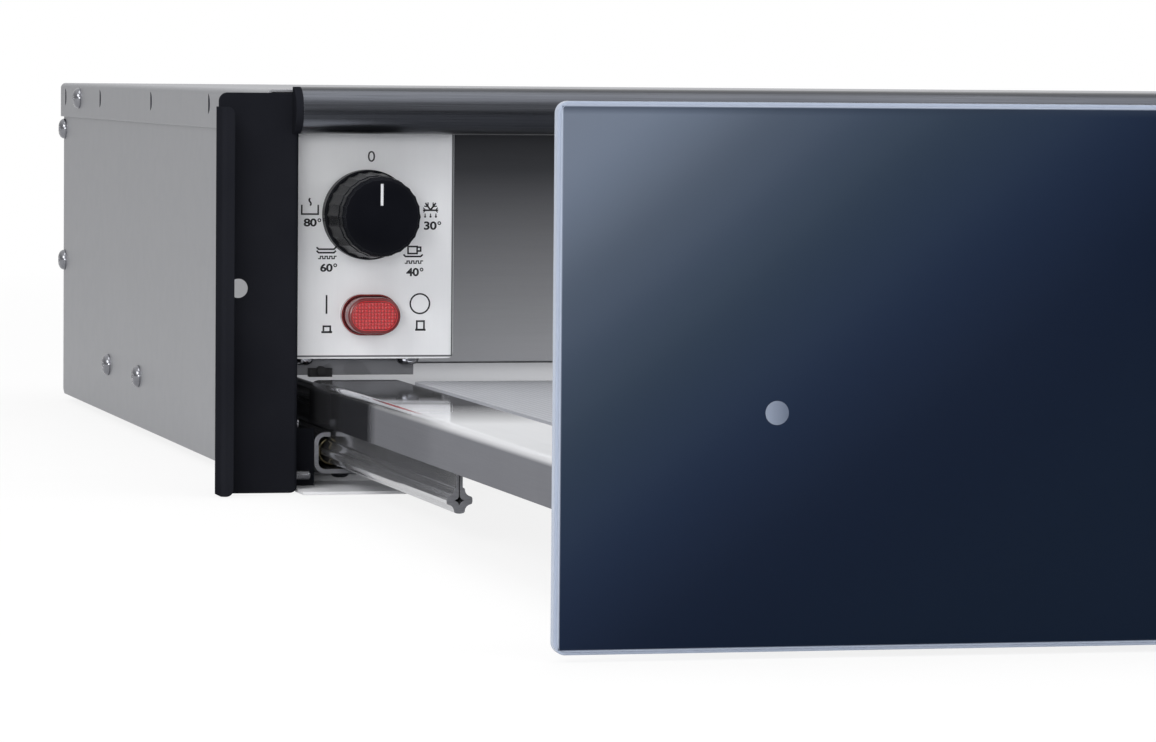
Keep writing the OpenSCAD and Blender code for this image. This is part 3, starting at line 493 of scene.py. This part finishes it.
MATERIALS = {
    "galvanised": metal("galvanised", "#97989c", "#999a9e", 0.45, spangle=0.006, edge_wear_and_painted_highlight="#b4b5b9", soil=0.1,
                        metallic=0.8, vary=0.03),
    "black_frame": plastic("black_frame", "#1b1c21", "#202126", 0.45, grain=0.5, fineness=1400.0,
                           edge_wear_and_painted_highlight="#2c2e33", radius=0.6 * MM, gloss=0.0),
    "bar_black": metal("bar_black", "#1e2024", "#5a5c62", 0.27, stretch=(0.6, 60, 60), depth=0.12,
                       edge_wear_and_painted_highlight="#5c5e64", metallic=0.9),
    "bracket_light": metal("bracket_light", "#eaebee", "#f4f4f6", 0.3, stretch=(60, 1, 60), edge_wear_and_painted_highlight="#ffffff",
                           metallic=0.05, gloss=0.0, soil=0.2),
    "cavity_steel": cavity_steel(),
    "panel_steel": panel_steel(),
    # dark sheet of painted shade in the lances' openings
    "painted_slit_shade": plastic("painted_slit_shade", "#33343a", "#3c3d42", 0.7, gloss=0.05),
    "cavity_floor": metal("cavity_floor", "#d4d5d9", "#dfe0e3", 0.3, stretch=(1, 60, 60), depth=0.04,
                          metallic=0.1, gloss=0.0),
    "box_grey": metal("box_grey", "#77787c", "#88898d", 0.4, spangle=0.03, metallic=0.8),
    "thermostat_body": plastic("thermostat_body", "#cfcabd", "#dcd8cc", 0.45, grain=0.3),
    "black_plastic": plastic("black_plastic", "#0c0d10", "#131417", 0.4, grain=0.3, edge_wear_and_painted_highlight="#34353a"),
    # pale edge colour: painted highlight on the knob's facets
    "knob_black": plastic("knob_black", "#0c0d11", "#14151a", 0.2, grain=0.05, edge_wear_and_painted_highlight="#b0b2b8", gloss=0.008),
    "button_red": button_red(),
    # pale pink edge colour: painted highlight round the bezel
    "bezel_red": plastic("bezel_red", "#5a1014", "#7c1d20", 0.12, grain=0.05, edge_wear_and_painted_highlight="#e7a5a5", coat=0.6),
    "runner_zinc": runner_zinc(),
    # brass darkened as painted shade, for cages that sit in the runners' shadow
    "cage_brass": metal("cage_brass", "#5f5743", "#7d7359", 0.35, stretch=(60, 1, 60)),
    "heater_sheath": metal("heater_sheath", "#5d5854", "#7b7570", 0.5, stretch=(1, 60, 60)),
    "white_plastic": plastic("white_plastic", "#d9d8d2", "#e6e5df", 0.4, grain=0.2),
    "screw_steel": metal("screw_steel", "#6c6d72", "#9a9ba0", 0.14, stretch=(40, 40, 40), edge_wear_and_painted_highlight="#d4d4d8"),
    "screw_dark": metal("screw_dark", "#2b2c30", "#45474c", 0.32, stretch=(40, 40, 40), edge_wear_and_painted_highlight="#8a8c92"),
    "shaft_steel": metal("shaft_steel", "#a9aaae", "#c9cacd", 0.25, stretch=(40, 1, 40)),
    "tray_mirror": tray_mirror(),
    "mat_grey": mat_grey(),
    "carrier_dark": plastic("carrier_dark", "#1e2024", "#292b30", 0.42, grain=0.4, edge_wear_and_painted_highlight="#4a4d54"),
    "glass_blue": glass_blue(),
    "lens_clear": lens_clear(),
    "marks_black": plastic("marks_black", "#141519", "#1e1f24", 0.55, grain=0.1),
    "pointer_white": plastic("pointer_white", "#cfd0d3", "#dcdde0", 0.4, grain=0.1),
}


# ---------------------------------------------------------------- meshes

def shade(mesh, degrees=32.0):
    """Smooth shading with sharp edges where faces turn by more than the angle."""
    mesh.polygons.foreach_set("use_smooth", np.ones(len(mesh.polygons), bool))
    mesh.set_sharp_from_angle(angle=math.radians(degrees))


def place(name, mesh, material, body, replaces=(), degrees=32.0):
    """Makes the piece's object at the origin, and gives it finish, body, slot and replaced nodes."""
    shade(mesh, degrees)
    mesh.materials.clear()
    mesh.materials.append(MATERIALS[material])
    piece = bpy.data.objects.new(name, mesh)
    bpy.context.scene.collection.objects.link(piece)
    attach(piece, body)
    if replaces:
        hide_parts(*replaces)
    return piece


def smooth_copy(node, degrees=32.0, finish=None):
    """Copy of a CAD node's mesh with its doubles merged, so that its curved faces shade smoothly and its
    flat ones flat."""
    mesh = NODES[node].data.copy()
    work = bmesh.new()
    work.from_mesh(mesh)
    bmesh.ops.remove_doubles(work, verts=work.verts, dist=MERGE)
    bmesh.ops.dissolve_degenerate(work, edges=work.edges, dist=MERGE / 2)
    work.to_mesh(mesh)
    work.free()
    for name in [a.name for a in mesh.attributes if a.name.startswith("custom_normal")]:
        mesh.attributes.remove(mesh.attributes[name])
    slot = SLOT_OF[node]
    piece = place(node + "_finish", mesh, finish or slot, BODY_OF[node], [node], degrees)
    weighted = piece.modifiers.new("weighted", "WEIGHTED_NORMAL")
    weighted.keep_sharp = True
    weighted.weight = 100
    return piece


def solid(points, faces):
    """Mesh from points and from faces, which are lists of the points' numbers."""
    mesh = bpy.data.meshes.new("surface")
    corners = np.asarray(points, float).reshape(-1, 3).tolist()
    mesh.from_pydata(corners, [], [list(map(int, face)) for face in faces])
    mesh.update()
    return mesh


def closed(points, faces):
    """Closed shell from arrays, with its normals turned outwards."""
    mesh = solid(points, faces)
    work = bmesh.new()
    work.from_mesh(mesh)
    bmesh.ops.recalc_face_normals(work, faces=work.faces)
    work.to_mesh(mesh)
    work.free()
    return mesh


def capped(rings):
    """Points and faces of stacked rings, an array of rows by sides by 3, closed by a pole at each end."""
    rows, sides = rings.shape[:2]
    points = np.concatenate([rings.reshape(-1, 3), [rings[0].mean(0), rings[-1].mean(0)]])
    faces = grid_faces(rows, sides).tolist()
    pole, last = rows * sides, (rows - 1) * sides
    for c in range(sides):
        n = (c + 1) % sides
        faces += [[pole, n, c], [pole + 1, last + c, last + n]]
    return points, faces


def grid_faces(rows, cols, wrap=True):
    """Quads of a grid of rows by cols points; wrap closes each row on itself."""
    r, c = np.meshgrid(np.arange(rows - 1), np.arange(cols if wrap else cols - 1), indexing="ij")
    n = (c + 1) % cols
    return np.stack([r * cols + c, r * cols + n, (r + 1) * cols + n, (r + 1) * cols + c], -1).reshape(-1, 4)


def join(parts):
    """Joins (points, faces) pairs into one pair."""
    points, faces, base = [], [], 0
    for p, f in parts:
        points.append(p)
        faces += [[int(i) + base for i in face] for face in f]
        base += len(p)
    return np.concatenate(points), faces


# ---------------------------------------------------------------- screws

def loose_parts(node):
    """Corner points of each separate solid in a CAD node, from its merged mesh."""
    work = bmesh.new()
    work.from_mesh(NODES[node].data)
    bmesh.ops.remove_doubles(work, verts=work.verts, dist=MERGE)
    waiting, parts = set(work.verts), []
    while waiting:
        front, part = [waiting.pop()], []
        while front:
            corner = front.pop()
            part.append(tuple(corner.co))
            near = {edge.other_vert(corner) for edge in corner.link_edges} & waiting
            waiting -= near
            front += near
        parts.append(np.array(part))
    work.free()
    return sorted(parts, key=lambda part: tuple(part.mean(0)))


def screw(head_r, head_h, shank_r, length):
    """Cross-recessed pan screw on +Z, seat at 0. The head's profile is the oval of the sine and the cosine
    of an angle, each raised to a power, less a cross with sloping walls. The shank's radius falls from crest
    to root as |2 frac(h / pitch + turn) - 1|, and it tapers at the tip."""
    turn = np.linspace(0, 2 * np.pi, SCREW_SIDES, endpoint=False)
    bend = np.linspace(0, np.pi / 2, HEAD_RINGS)[1:, None]
    r = head_r * np.sin(bend) ** HEAD_BOW[0]
    top = head_h * np.maximum(np.cos(bend), 0) ** HEAD_BOW[1] + 0 * turn
    x, z = r * np.cos(turn), r * np.sin(turn)
    arm = np.minimum(np.abs(x), np.abs(z)) / head_r
    reach = np.clip((CROSS_REACH - np.maximum(np.abs(x), np.abs(z)) / head_r) * 9, 0, 1)
    sink = head_h * CROSS_DEPTH * np.clip((CROSS_HALF - arm) * 14, 0, 1) * reach
    head = np.stack([x, z, np.maximum(top, 0.0) - sink], -1)
    down = np.linspace(0, -length, max(int(length / SCREW_PITCH * 8), 8))[:, None]
    wave = np.abs(2 * ((down / SCREW_PITCH + turn / (2 * np.pi)) % 1) - 1)
    taper = np.clip((length + down) / (0.5 * shank_r) + 0.55, 0, 1)
    shank_at = shank_r * (1 - THREAD_DEPTH * wave) * taper
    shank = np.stack([shank_at * np.cos(turn), shank_at * np.sin(turn), down + 0 * turn], -1)
    return capped(np.concatenate([head, shank]))


def screws(node, axis, finish):
    """Detailed screws in the place of a CAD node's plain ones. The end with the narrower rim is the
    dome's top, and the widest points are its seat."""
    others = [i for i in range(3) if i != axis]
    parts = []
    for part in loose_parts(node):
        centre = (part.min(0) + part.max(0)) / 2
        away = np.linalg.norm(part[:, others] - centre[others], axis=1)
        h = part[:, axis]
        ends = [h.min(), h.max()]
        rims = [away[np.abs(h - end) < 2 * LEVEL].max() for end in ends]
        top, tip = (ends[0], ends[1]) if rims[0] < rims[1] else (ends[1], ends[0])
        seat = h[away > away.max() - LEVEL].mean()
        points, faces = screw(away.max(), abs(top - seat), max(rims), abs(seat - tip))
        upright = 1.0 if top > tip else -1.0
        placed = np.zeros_like(points)
        placed[:, axis] = seat + upright * points[:, 2]
        placed[:, others[0]] = centre[others[0]] + points[:, 0]
        placed[:, others[1]] = centre[others[1]] + points[:, 1]
        parts.append((placed, faces))
    return place(node + "_finish", closed(*join(parts)), finish, BODY_OF[node], [node])


# ---------------------------------------------------------------- printed marks on the control panel

def on_panel(u, v):
    """Panel place in metres of a mark drawn at u, v millimetres right of and above the knob's centre."""
    return KNOB_X + u * MM, KNOB_Z + v * MM


def ribbon(path, width, y, thick, closed=False):
    """Flat stroke: each point of the path moved half the width to both sides along the mitred normal,
    at depth y and again at y - thick, joined into a closed bar."""
    p = np.asarray(path, float)
    if closed:
        before, after = np.roll(p, 1, 0), np.roll(p, -1, 0)
    else:
        before, after = np.vstack([2 * p[0] - p[1], p[:-1]]), np.vstack([p[1:], 2 * p[-1] - p[-2]])
    d0, d1 = p - before, after - p
    d0 /= np.linalg.norm(d0, axis=1)[:, None]
    d1 /= np.linalg.norm(d1, axis=1)[:, None]
    n0, n1 = np.stack([-d0[:, 1], d0[:, 0]], 1), np.stack([-d1[:, 1], d1[:, 0]], 1)
    m = (n0 + n1) / np.maximum(1 + (n0 * n1).sum(1), 0.35)[:, None]
    left, right = p + m * width / 2, p - m * width / 2
    count = len(p)
    rows = [np.stack([q[:, 0], np.full(count, h), q[:, 1]], 1)
            for q, h in ((left, y), (left, y - thick), (right, y - thick), (right, y))]
    points = np.stack(rows, 1).reshape(-1, 3)
    faces = grid_faces(count, 4).tolist()
    if closed:
        last = (count - 1) * 4
        faces += [[last + c, last + (c + 1) % 4, (c + 1) % 4, c] for c in range(4)]
    else:
        faces += [[3, 2, 1, 0], [(count - 1) * 4 + c for c in range(4)]]
    return points, faces


def arc(cx, cy, r, start, stop, steps=12):
    """Points of a circular arc in degrees."""
    w = np.radians(np.linspace(start, stop, steps))
    return np.stack([cx + r * np.cos(w), cy + r * np.sin(w)], 1)


def stroke(path, width, closed=False):
    """Printed stroke on the panel, its path in millimetres from the knob's centre."""
    p = np.asarray(path, float) * MM + np.array([KNOB_X, KNOB_Z])
    return ribbon(p, width * MM, PANEL_Y, PRINT_T, closed)


def number(text, u, v, width, height, bold):
    """Figures as a mesh, with their lower left corner at u, v and their width and height in
    millimetres."""
    curve = bpy.data.curves.new("figures", "FONT")
    curve.body, curve.size, curve.offset, curve.resolution_u = text, 1.0, bold, 4
    curve.extrude = 0.01
    curve.space_character = 0.95
    holder = bpy.data.objects.new("figures", curve)
    bpy.context.scene.collection.objects.link(holder)
    bpy.context.view_layer.update()
    mesh = bpy.data.meshes.new_from_object(holder.evaluated_get(bpy.context.evaluated_depsgraph_get()))
    co = np.zeros(len(mesh.vertices) * 3)
    mesh.vertices.foreach_get("co", co)
    co = co.reshape(-1, 3)
    share = (co - co.min(0)) / np.ptp(co, 0)
    x0, z0 = on_panel(u, v)
    points = np.stack([x0 + share[:, 0] * width * MM, PANEL_Y - share[:, 2] * PRINT_T,
                       z0 + share[:, 1] * height * MM], 1)
    faces = [list(f.vertices) for f in mesh.polygons]
    bpy.data.objects.remove(holder)
    return points, faces


def heat_waves(u, v, count=4):
    """Square wave that stands for heat: in each period low for one half and high for the other."""
    step = np.arange(count * 4)
    x = (step // 2 + step % 2) * HEAT_PITCH / 2
    z = np.where(step // 2 % 2 == 0, -HEAT_HALF, HEAT_HALF)
    return np.stack([u + x, v + z], 1)


def dish(u, v, half, rim=0.75):
    """Shallow bowl line with turned-up ends."""
    return [(u - half, v + rim), (u - half + 0.7, v), (u + half - 0.7, v), (u + half, v + rim)]


def steam(u, v):
    """Rising curl: one period of a sine wave stood on end."""
    t = np.linspace(0, 1, 13)
    return np.stack([u + 0.32 * np.sin(2 * np.pi * t), v + 2.6 * t], 1)


def panel_marks():
    """Generic marks: off, four temperatures with their uses, ON and OFF signs and the key's two states."""
    bold, thin = 0.03, 0.0
    parts = [number("0", 0.65, 18.17, 2.54, 3.74, thin)]
    for text, u, v, width, height in (("80", -21.7, -4.2, 4.55, 2.8), ("60", -15.85, -19.8, 4.35, 2.85),
                                      ("40", 14.4, -21.35, 4.5, 2.9), ("30", 20.55, -5.3, 4.5, 2.95)):
        parts.append(number(text, u, v, width, height, bold))
        parts.append(stroke(arc(u + width + 0.92, v + height - 0.6, 0.48, 0, 330, 12), 0.36, closed=True))
    parts += [
        stroke([(-22.4, 3.3), (-22.4, 0.1), (-16.65, 0.1), (-16.65, 3.3)], LINE),
        stroke(steam(-19.5, 3.0), LINE),
        stroke(dish(-13.75, -12.0, 3.4, 0.7), LINE),
        stroke(dish(-13.75, -13.2, 3.4, 0.7), LINE),
        stroke(heat_waves(-16.6, -14.85), 0.38),
        stroke([(15.0, -13.5), (15.0, -11.05), (18.2, -11.05), (18.2, -13.5)], LINE, closed=True),
        stroke([(18.2, -11.3), (19.45, -11.3), (19.45, -12.6), (18.2, -12.6)], LINE),
        stroke(dish(16.8, -14.5, 3.4, 0.7), LINE),
        stroke(heat_waves(13.85, -16.45), 0.38),
        stroke([(20.2, 1.5), (25.55, 1.5)], LINE),
        stroke([(22.85, 1.6), (21.0, 4.0)], LINE),
        stroke([(22.85, 1.6), (24.7, 4.0)], LINE),
        stroke([(21.95, 2.8), (21.95, 4.2)], 0.4),
        stroke([(23.75, 2.8), (23.75, 4.2)], 0.4),
        stroke([(21.95, 2.8), (20.6, 2.9)], 0.4),
        stroke([(23.75, 2.8), (25.1, 2.9)], 0.4),
        stroke([(20.3, 2.4), (21.1, 1.5), (20.3, 0.75)], 0.34),
        stroke([(25.4, 2.4), (24.6, 1.5), (25.4, 0.75)], 0.34),
        stroke([(-13.55, -27.8), (-13.55, -34.3)], 0.6),
        stroke(arc(19.3, -30.85, 3.4, 0, 354, 48), 0.54, closed=True),
        stroke([(-15.3, -40.6), (-11.55, -40.6)], 0.7),
        stroke([(-14.6, -40.6), (-14.6, -38.6), (-12.2, -38.6), (-12.2, -40.6)], 0.6),
        stroke([(17.7, -39.9), (21.35, -39.9)], 0.7),
        stroke([(18.25, -39.9), (18.25, -36.9), (20.8, -36.9), (20.8, -39.9)], 0.6),
    ]
    for u in (20.95, 22.85, 24.75):
        parts.append(stroke([(u, 0.35), (u, -0.75)], 0.34))
        parts.append(stroke(arc(u, -0.72, 0.19, 0, 315, 8), 0.36, closed=True))
    points, faces = join(parts)
    return place("panel_marks", solid(points, faces), "marks_black", "cabinet")


def knob_pointer():
    """White line let into the knob's face, from near its middle to near its rim."""
    path = [on_panel(0, v) for v in np.linspace(*POINTER, 9)]
    points, faces = ribbon(path, 0.95 * MM, KNOB_LOW.y + 0.08 * MM, 0.1 * MM)
    return place("knob_pointer", solid(points, faces), "pointer_white", "control_knob")


def knob_body():
    """Knob with a round collar and a faceted grip. Its radius is a profile over the length, times
    1 + swell (cos(half a facet) / cos(angle from the facet's middle) - 1) where the facet share is 1.
    The profile's rows are radius and depth in millimetres and facet share."""
    profile = [(14.9, 0.0, 0), (15.4, 0.2, 0), (15.5, 0.6, 0), (15.5, 5.4, 0), (15.4, 5.8, 0),
               (15.1, 6.1, 0), (14.6, 6.3, 0), (14.5, 6.35, 1), (14.85, 6.6, 1), (14.95, 7.2, 1)]
    profile += [(14.95 - 0.85 * t, 7.2 + 15.2 * t, 1) for t in np.linspace(0.1, 1, 8)]
    profile += [(14.0, 22.6, 1), (13.85, 22.8, 1), (13.83, 23.4, 1), (13.75, 26.8, 1), (13.7, 27.2, 1),
                (13.5, 27.7, 1), (13.15, 28.1, 1), (12.7, 28.34, 1), (12.2, 28.4, 1), (8.0, 28.4, 0.5),
                (4.0, 28.4, 0), (1.0, 28.4, 0)]
    r, out, share = np.array(profile).T[:, :, None]
    r = r * (KNOB_HIGH.x - KNOB_LOW.x) / 2 / KNOB_COLLAR
    out = out * (KNOB_HIGH.y - KNOB_LOW.y) / KNOB_DEPTH
    turn = np.linspace(0, 2 * np.pi, KNOB_SIDES, endpoint=False)
    half = np.pi / KNOB_FACETS
    facet = np.cos(half) / np.cos(turn % (2 * half) - half)
    radius = r * (1 + share * FACET_SWELL * (facet - 1))
    rings = np.stack([KNOB_X + radius * np.cos(turn), KNOB_HIGH.y - out + 0 * turn,
                      KNOB_Z + radius * np.sin(turn)], -1)
    return place("knob_finish", closed(*capped(rings)), "knob_black", "control_knob", ["knob"],
                 degrees=9)


def lance_slit_shade():
    """Painted shade in the openings of the lances along the cover's flanges: thin dark half-moons between a
    chord in the sheet's face and the circular arc through its ends that goes a little inwards."""
    low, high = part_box("top_cover")
    radius = (LANCE_HALF ** 2 + LANCE_IN ** 2) / (2 * LANCE_IN)
    reach = np.arcsin(LANCE_HALF / radius)
    turn = np.linspace(-reach, reach, LANCE_STEPS)
    chord = np.linspace(LANCE_HALF, -LANCE_HALF, LANCE_STEPS)[1:-1]
    inward = np.concatenate([radius * (np.cos(turn) - 1) + LANCE_IN, 0 * chord])
    rise = np.concatenate([radius * np.sin(turn), chord])
    parts = []
    for side in (1.0, -1.0):
        for y in LANCE_Y:
            rings = [np.stack([side * (low.x + inward * MM), (y - back) * MM + 0 * rise,
                               high.z + (rise - LANCE_DROP) * MM], -1) for back in (0.0, LANCE_T)]
            parts.append(capped(np.array(rings)))
    return place("lance_slit_shade", closed(*join(parts)), "painted_slit_shade", "cabinet", degrees=20)


def stadium(half_w, half_h, sides):
    """Points round a flat-sided oval: a circle of half_h with its halves moved apart."""
    turn = np.linspace(0, 2 * np.pi, sides, endpoint=False) + np.pi / sides
    return (half_w - half_h) * np.sign(np.cos(turn)) + half_h * np.cos(turn), half_h * np.sin(turn)


def push_button():
    """Rocker cap and its lens field. The cap is a stadium carried out over a rounded edge. The field's depth
    is a grid of small pyramids, the smaller of |sin| across and |sin| up, fading out at its border."""
    low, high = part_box("switch_button")
    cx, cz = (low.x + high.x) / 2, (low.z + high.z) / 2
    half_w, half_h = (high.x - low.x) / 2, (high.z - low.z) / 2
    at_back = [(0.6, high.y), (0.2, high.y - 0.1 * MM), (0.0, high.y - 0.4 * MM)]
    at_front = [(inset, low.y + behind * MM) for inset, behind in
                ((0.0, 1.15), (0.1, 0.8), (0.35, 0.55), (0.7, 0.45), (1.0, 0.4), (1.05, 0.1), (1.2, 0.0),
                 (1.35, 0.05), (1.5, 0.5), (2.2, 0.55))]
    rings = []
    for inset, y in at_back + at_front:
        x, z = stadium(half_w - inset * MM, half_h - inset * MM, CAP_SIDES)
        rings.append(np.stack([cx + x, y + 0 * x, cz + z], -1))
    place("switch_button_finish", closed(*capped(np.array(rings))), "button_red", "push_button",
          ["switch_button"], degrees=25)
    rows, cols = LENS_GRID
    v, u = np.meshgrid(np.linspace(-1, 1, rows), np.linspace(-1, 1, cols), indexing="ij")
    field_w, field_h = half_w - LENS_INSET, half_h - LENS_INSET
    reach = field_w - field_h + field_h * np.sqrt(np.maximum(1 - v ** 2, 0))
    x, z = u * reach, v * field_h
    rim = np.clip((1 - np.maximum(np.abs(u), np.abs(v))) * 14, 0, 1)
    grid = np.minimum(np.abs(np.sin(np.pi * x / LENS_PITCH)), np.abs(np.sin(np.pi * z / LENS_PITCH)))
    y = low.y + LENS_DEPTH * (1.15 - rim * (0.15 + grid))
    points = np.stack([cx + x, y, cz + z], -1).reshape(-1, 3)
    return place("button_lens", solid(points, grid_faces(rows, cols, wrap=False)), "button_red",
                 "push_button", degrees=60)


# ---------------------------------------------------------------- camera, light and stage

def look(position, yaw, pitch, roll, lens):
    """Camera from its position, its turn to the right, its tilt down and its roll, in degrees."""
    yaw, pitch, roll = map(math.radians, (yaw, pitch, roll))
    forward = Vector((math.sin(yaw) * math.cos(pitch), math.cos(yaw) * math.cos(pitch), -math.sin(pitch)))
    right = forward.cross(Vector((0, 0, 1))).normalized()
    up = right.cross(forward)
    across = right * math.cos(roll) + up * math.sin(roll)
    upright = up * math.cos(roll) - right * math.sin(roll)
    turn = Matrix((across, upright, -forward)).transposed()
    data = bpy.data.cameras.new("camera")
    data.lens, data.sensor_width = lens, 36.0
    data.clip_start, data.clip_end = 0.05, 60.0
    camera = bpy.data.objects.new("camera", data)
    camera.rotation_euler = turn.to_euler()
    camera.location = position
    bpy.context.scene.collection.objects.link(camera)
    bpy.context.scene.camera = camera


def softbox(name, position, target, width, height, watts, glossy=True):
    """Area lamp aimed at a point, unseen by the camera."""
    data = bpy.data.lights.new(name, "AREA")
    data.shape, data.size, data.size_y, data.energy = "RECTANGLE", width, height, watts
    lamp = bpy.data.objects.new(name, data)
    lamp.location = position
    lamp.rotation_euler = (Vector(target) - Vector(position)).to_track_quat("-Z", "Y").to_euler()
    lamp.visible_camera = False
    lamp.visible_glossy = glossy
    bpy.context.scene.collection.objects.link(lamp)


def surroundings():
    """World: white for the camera, dimmer as a light. Metal sees a studio that is darker on the left."""
    world = bpy.data.worlds.new("studio")
    bpy.context.scene.world = world
    world.use_nodes = True
    tree = world.node_tree
    shown = tree.nodes["Background"]
    feed(tree, shown.inputs["Color"], (1.0, 1.0, 1.0, 1.0))
    height = spread(tree, coordinate(tree, "Generated", "Z"), 0.15, 0.75, 0.0, 0.55)
    across = spread(tree, coordinate(tree, "Generated", "X"), -0.9, 0.3, 0.42, 0.85)
    studio = math_node(tree, "ADD", across, height, clamp=True)
    path = add(tree, "LightPath")
    glossy = math_node(tree, "MULTIPLY", path.outputs["Is Glossy Ray"], studio)
    plain = math_node(tree, "MAXIMUM", path.outputs["Is Camera Ray"], path.outputs["Is Transmission Ray"])
    strength = math_node(tree, "MAXIMUM", math_node(tree, "MAXIMUM", glossy, plain), 0.5)
    feed(tree, shown.inputs["Strength"], strength)


def floor():
    """Wide pale floor that shows white and keeps the object's shadow."""
    corners = ((-1, -1), (1, -1), (1, 1), (-1, 1))
    mesh = solid([(x * FLOOR_HALF, y * FLOOR_HALF, FLOOR_Z) for x, y in corners], [[0, 1, 2, 3]])
    material, tree, diffuse = blank("floor_pale")
    grain = add(tree, "TexNoise", {"Vector": coordinate(tree), "Scale": 30.0})
    tone = spread(tree, grain.outputs[0], 0.2, 0.8, 0.84, 0.87)
    grey = add(tree, "CombineColor", {0: tone, 1: tone, 2: tone}).outputs[0]
    wire(tree, diffuse, grey, 0.9, specular_ior_level=0.1)
    white = add(tree, "Emission", {"Color": (1, 1, 1, 1), "Strength": 1.0}).outputs[0]
    apart = add(tree, "VectorMath", {0: coordinate(tree)}, operation="LENGTH")
    share = spread(tree, apart.outputs["Value"], 0.6, 2.0, 0.85, 1.0)
    path = add(tree, "LightPath")
    plain = math_node(tree, "MAXIMUM", path.outputs["Is Camera Ray"], path.outputs["Is Transmission Ray"])
    shown = math_node(tree, "MAXIMUM", math_node(tree, "MULTIPLY", plain, share),
                      math_node(tree, "MULTIPLY", path.outputs["Is Glossy Ray"], 0.4))
    blend = add(tree, "MixShader", {0: shown, 1: diffuse.outputs[0], 2: white}).outputs[0]
    feed(tree, tree.nodes["Material Output"].inputs["Surface"], blend)
    mesh.materials.append(material)
    piece = bpy.data.objects.new("floor", mesh)
    bpy.context.scene.collection.objects.link(piece)


# ---------------------------------------------------------------- assembly

CURVED = {"top_bar", "tray", "top_cover", "control_panel", "blank_panel", "switch_bezel", "cable_gland",
          "glass_front", "mat", "front_carrier", "indicator_lens", "heater", "latch_plunger",
          "latch_striker", "thermostat_shaft", "bottom_panel", "rear_panel", "liner_floor"}
PAIRED = ("rail_middle", "rail_fixed", "rail_drawer", "cage_lower", "cage_upper", "front_flange",
          "side_panel", "corner_bracket", "runner_support", "box_base", "bar_cap", "rim_glide")
CURVED |= {name + side for name in PAIRED for side in ("_left", "_right")}
OWN_FINISH = {"liner_floor": "cavity_floor"}
MODELLED = {"knob", "switch_button"}

SCREWS = {"casing_screws": (0, "screw_steel"), "flange_screws": (0, "screw_steel"),
          "panel_screws": (2, "screw_steel"), "rail_screws": (2, "screw_dark"),
          "front_screws": (1, "screw_steel")}

for name in sorted(NODES):
    if name in SCREWS:
        screws(name, *SCREWS[name])
    elif name in CURVED:
        smooth_copy(name, finish=OWN_FINISH.get(name))
    elif name not in MODELLED:
        for holder in NODES[name].material_slots:
            holder.material = MATERIALS[SLOT_OF[name]]

lance_slit_shade()
panel_marks()
knob_body()
knob_pointer()
push_button()
look(position=(-0.590754, -1.772358, 0.144811), yaw=13.3848, pitch=3.2537, roll=0.4778, lens=164.2828)
surroundings()
floor()
softbox("key", (-2.2, -1.8, 1.9), (-0.2, 0.0, 0.05), 1.8, 1.4, 42.0)
softbox("overhead", (0.3, -0.4, 2.4), (0.0, -0.1, 0.0), 2.2, 2.2, 38.0)
softbox("fill", (1.6, -2.6, 0.9), (0.0, 0.0, 0.05), 1.6, 1.0, 5.0)
softbox("front", (-1.1, -2.6, 0.4), (-0.25, 0.1, 0.06), 0.9, 0.5, 15.0)
softbox("cavity", (0.0, 0.41, 0.117), (0.0, 0.41, 0.0), 0.38, 0.16, 0.25, glossy=False)
scene = bpy.context.scene
scene.view_settings.view_transform = "Standard"
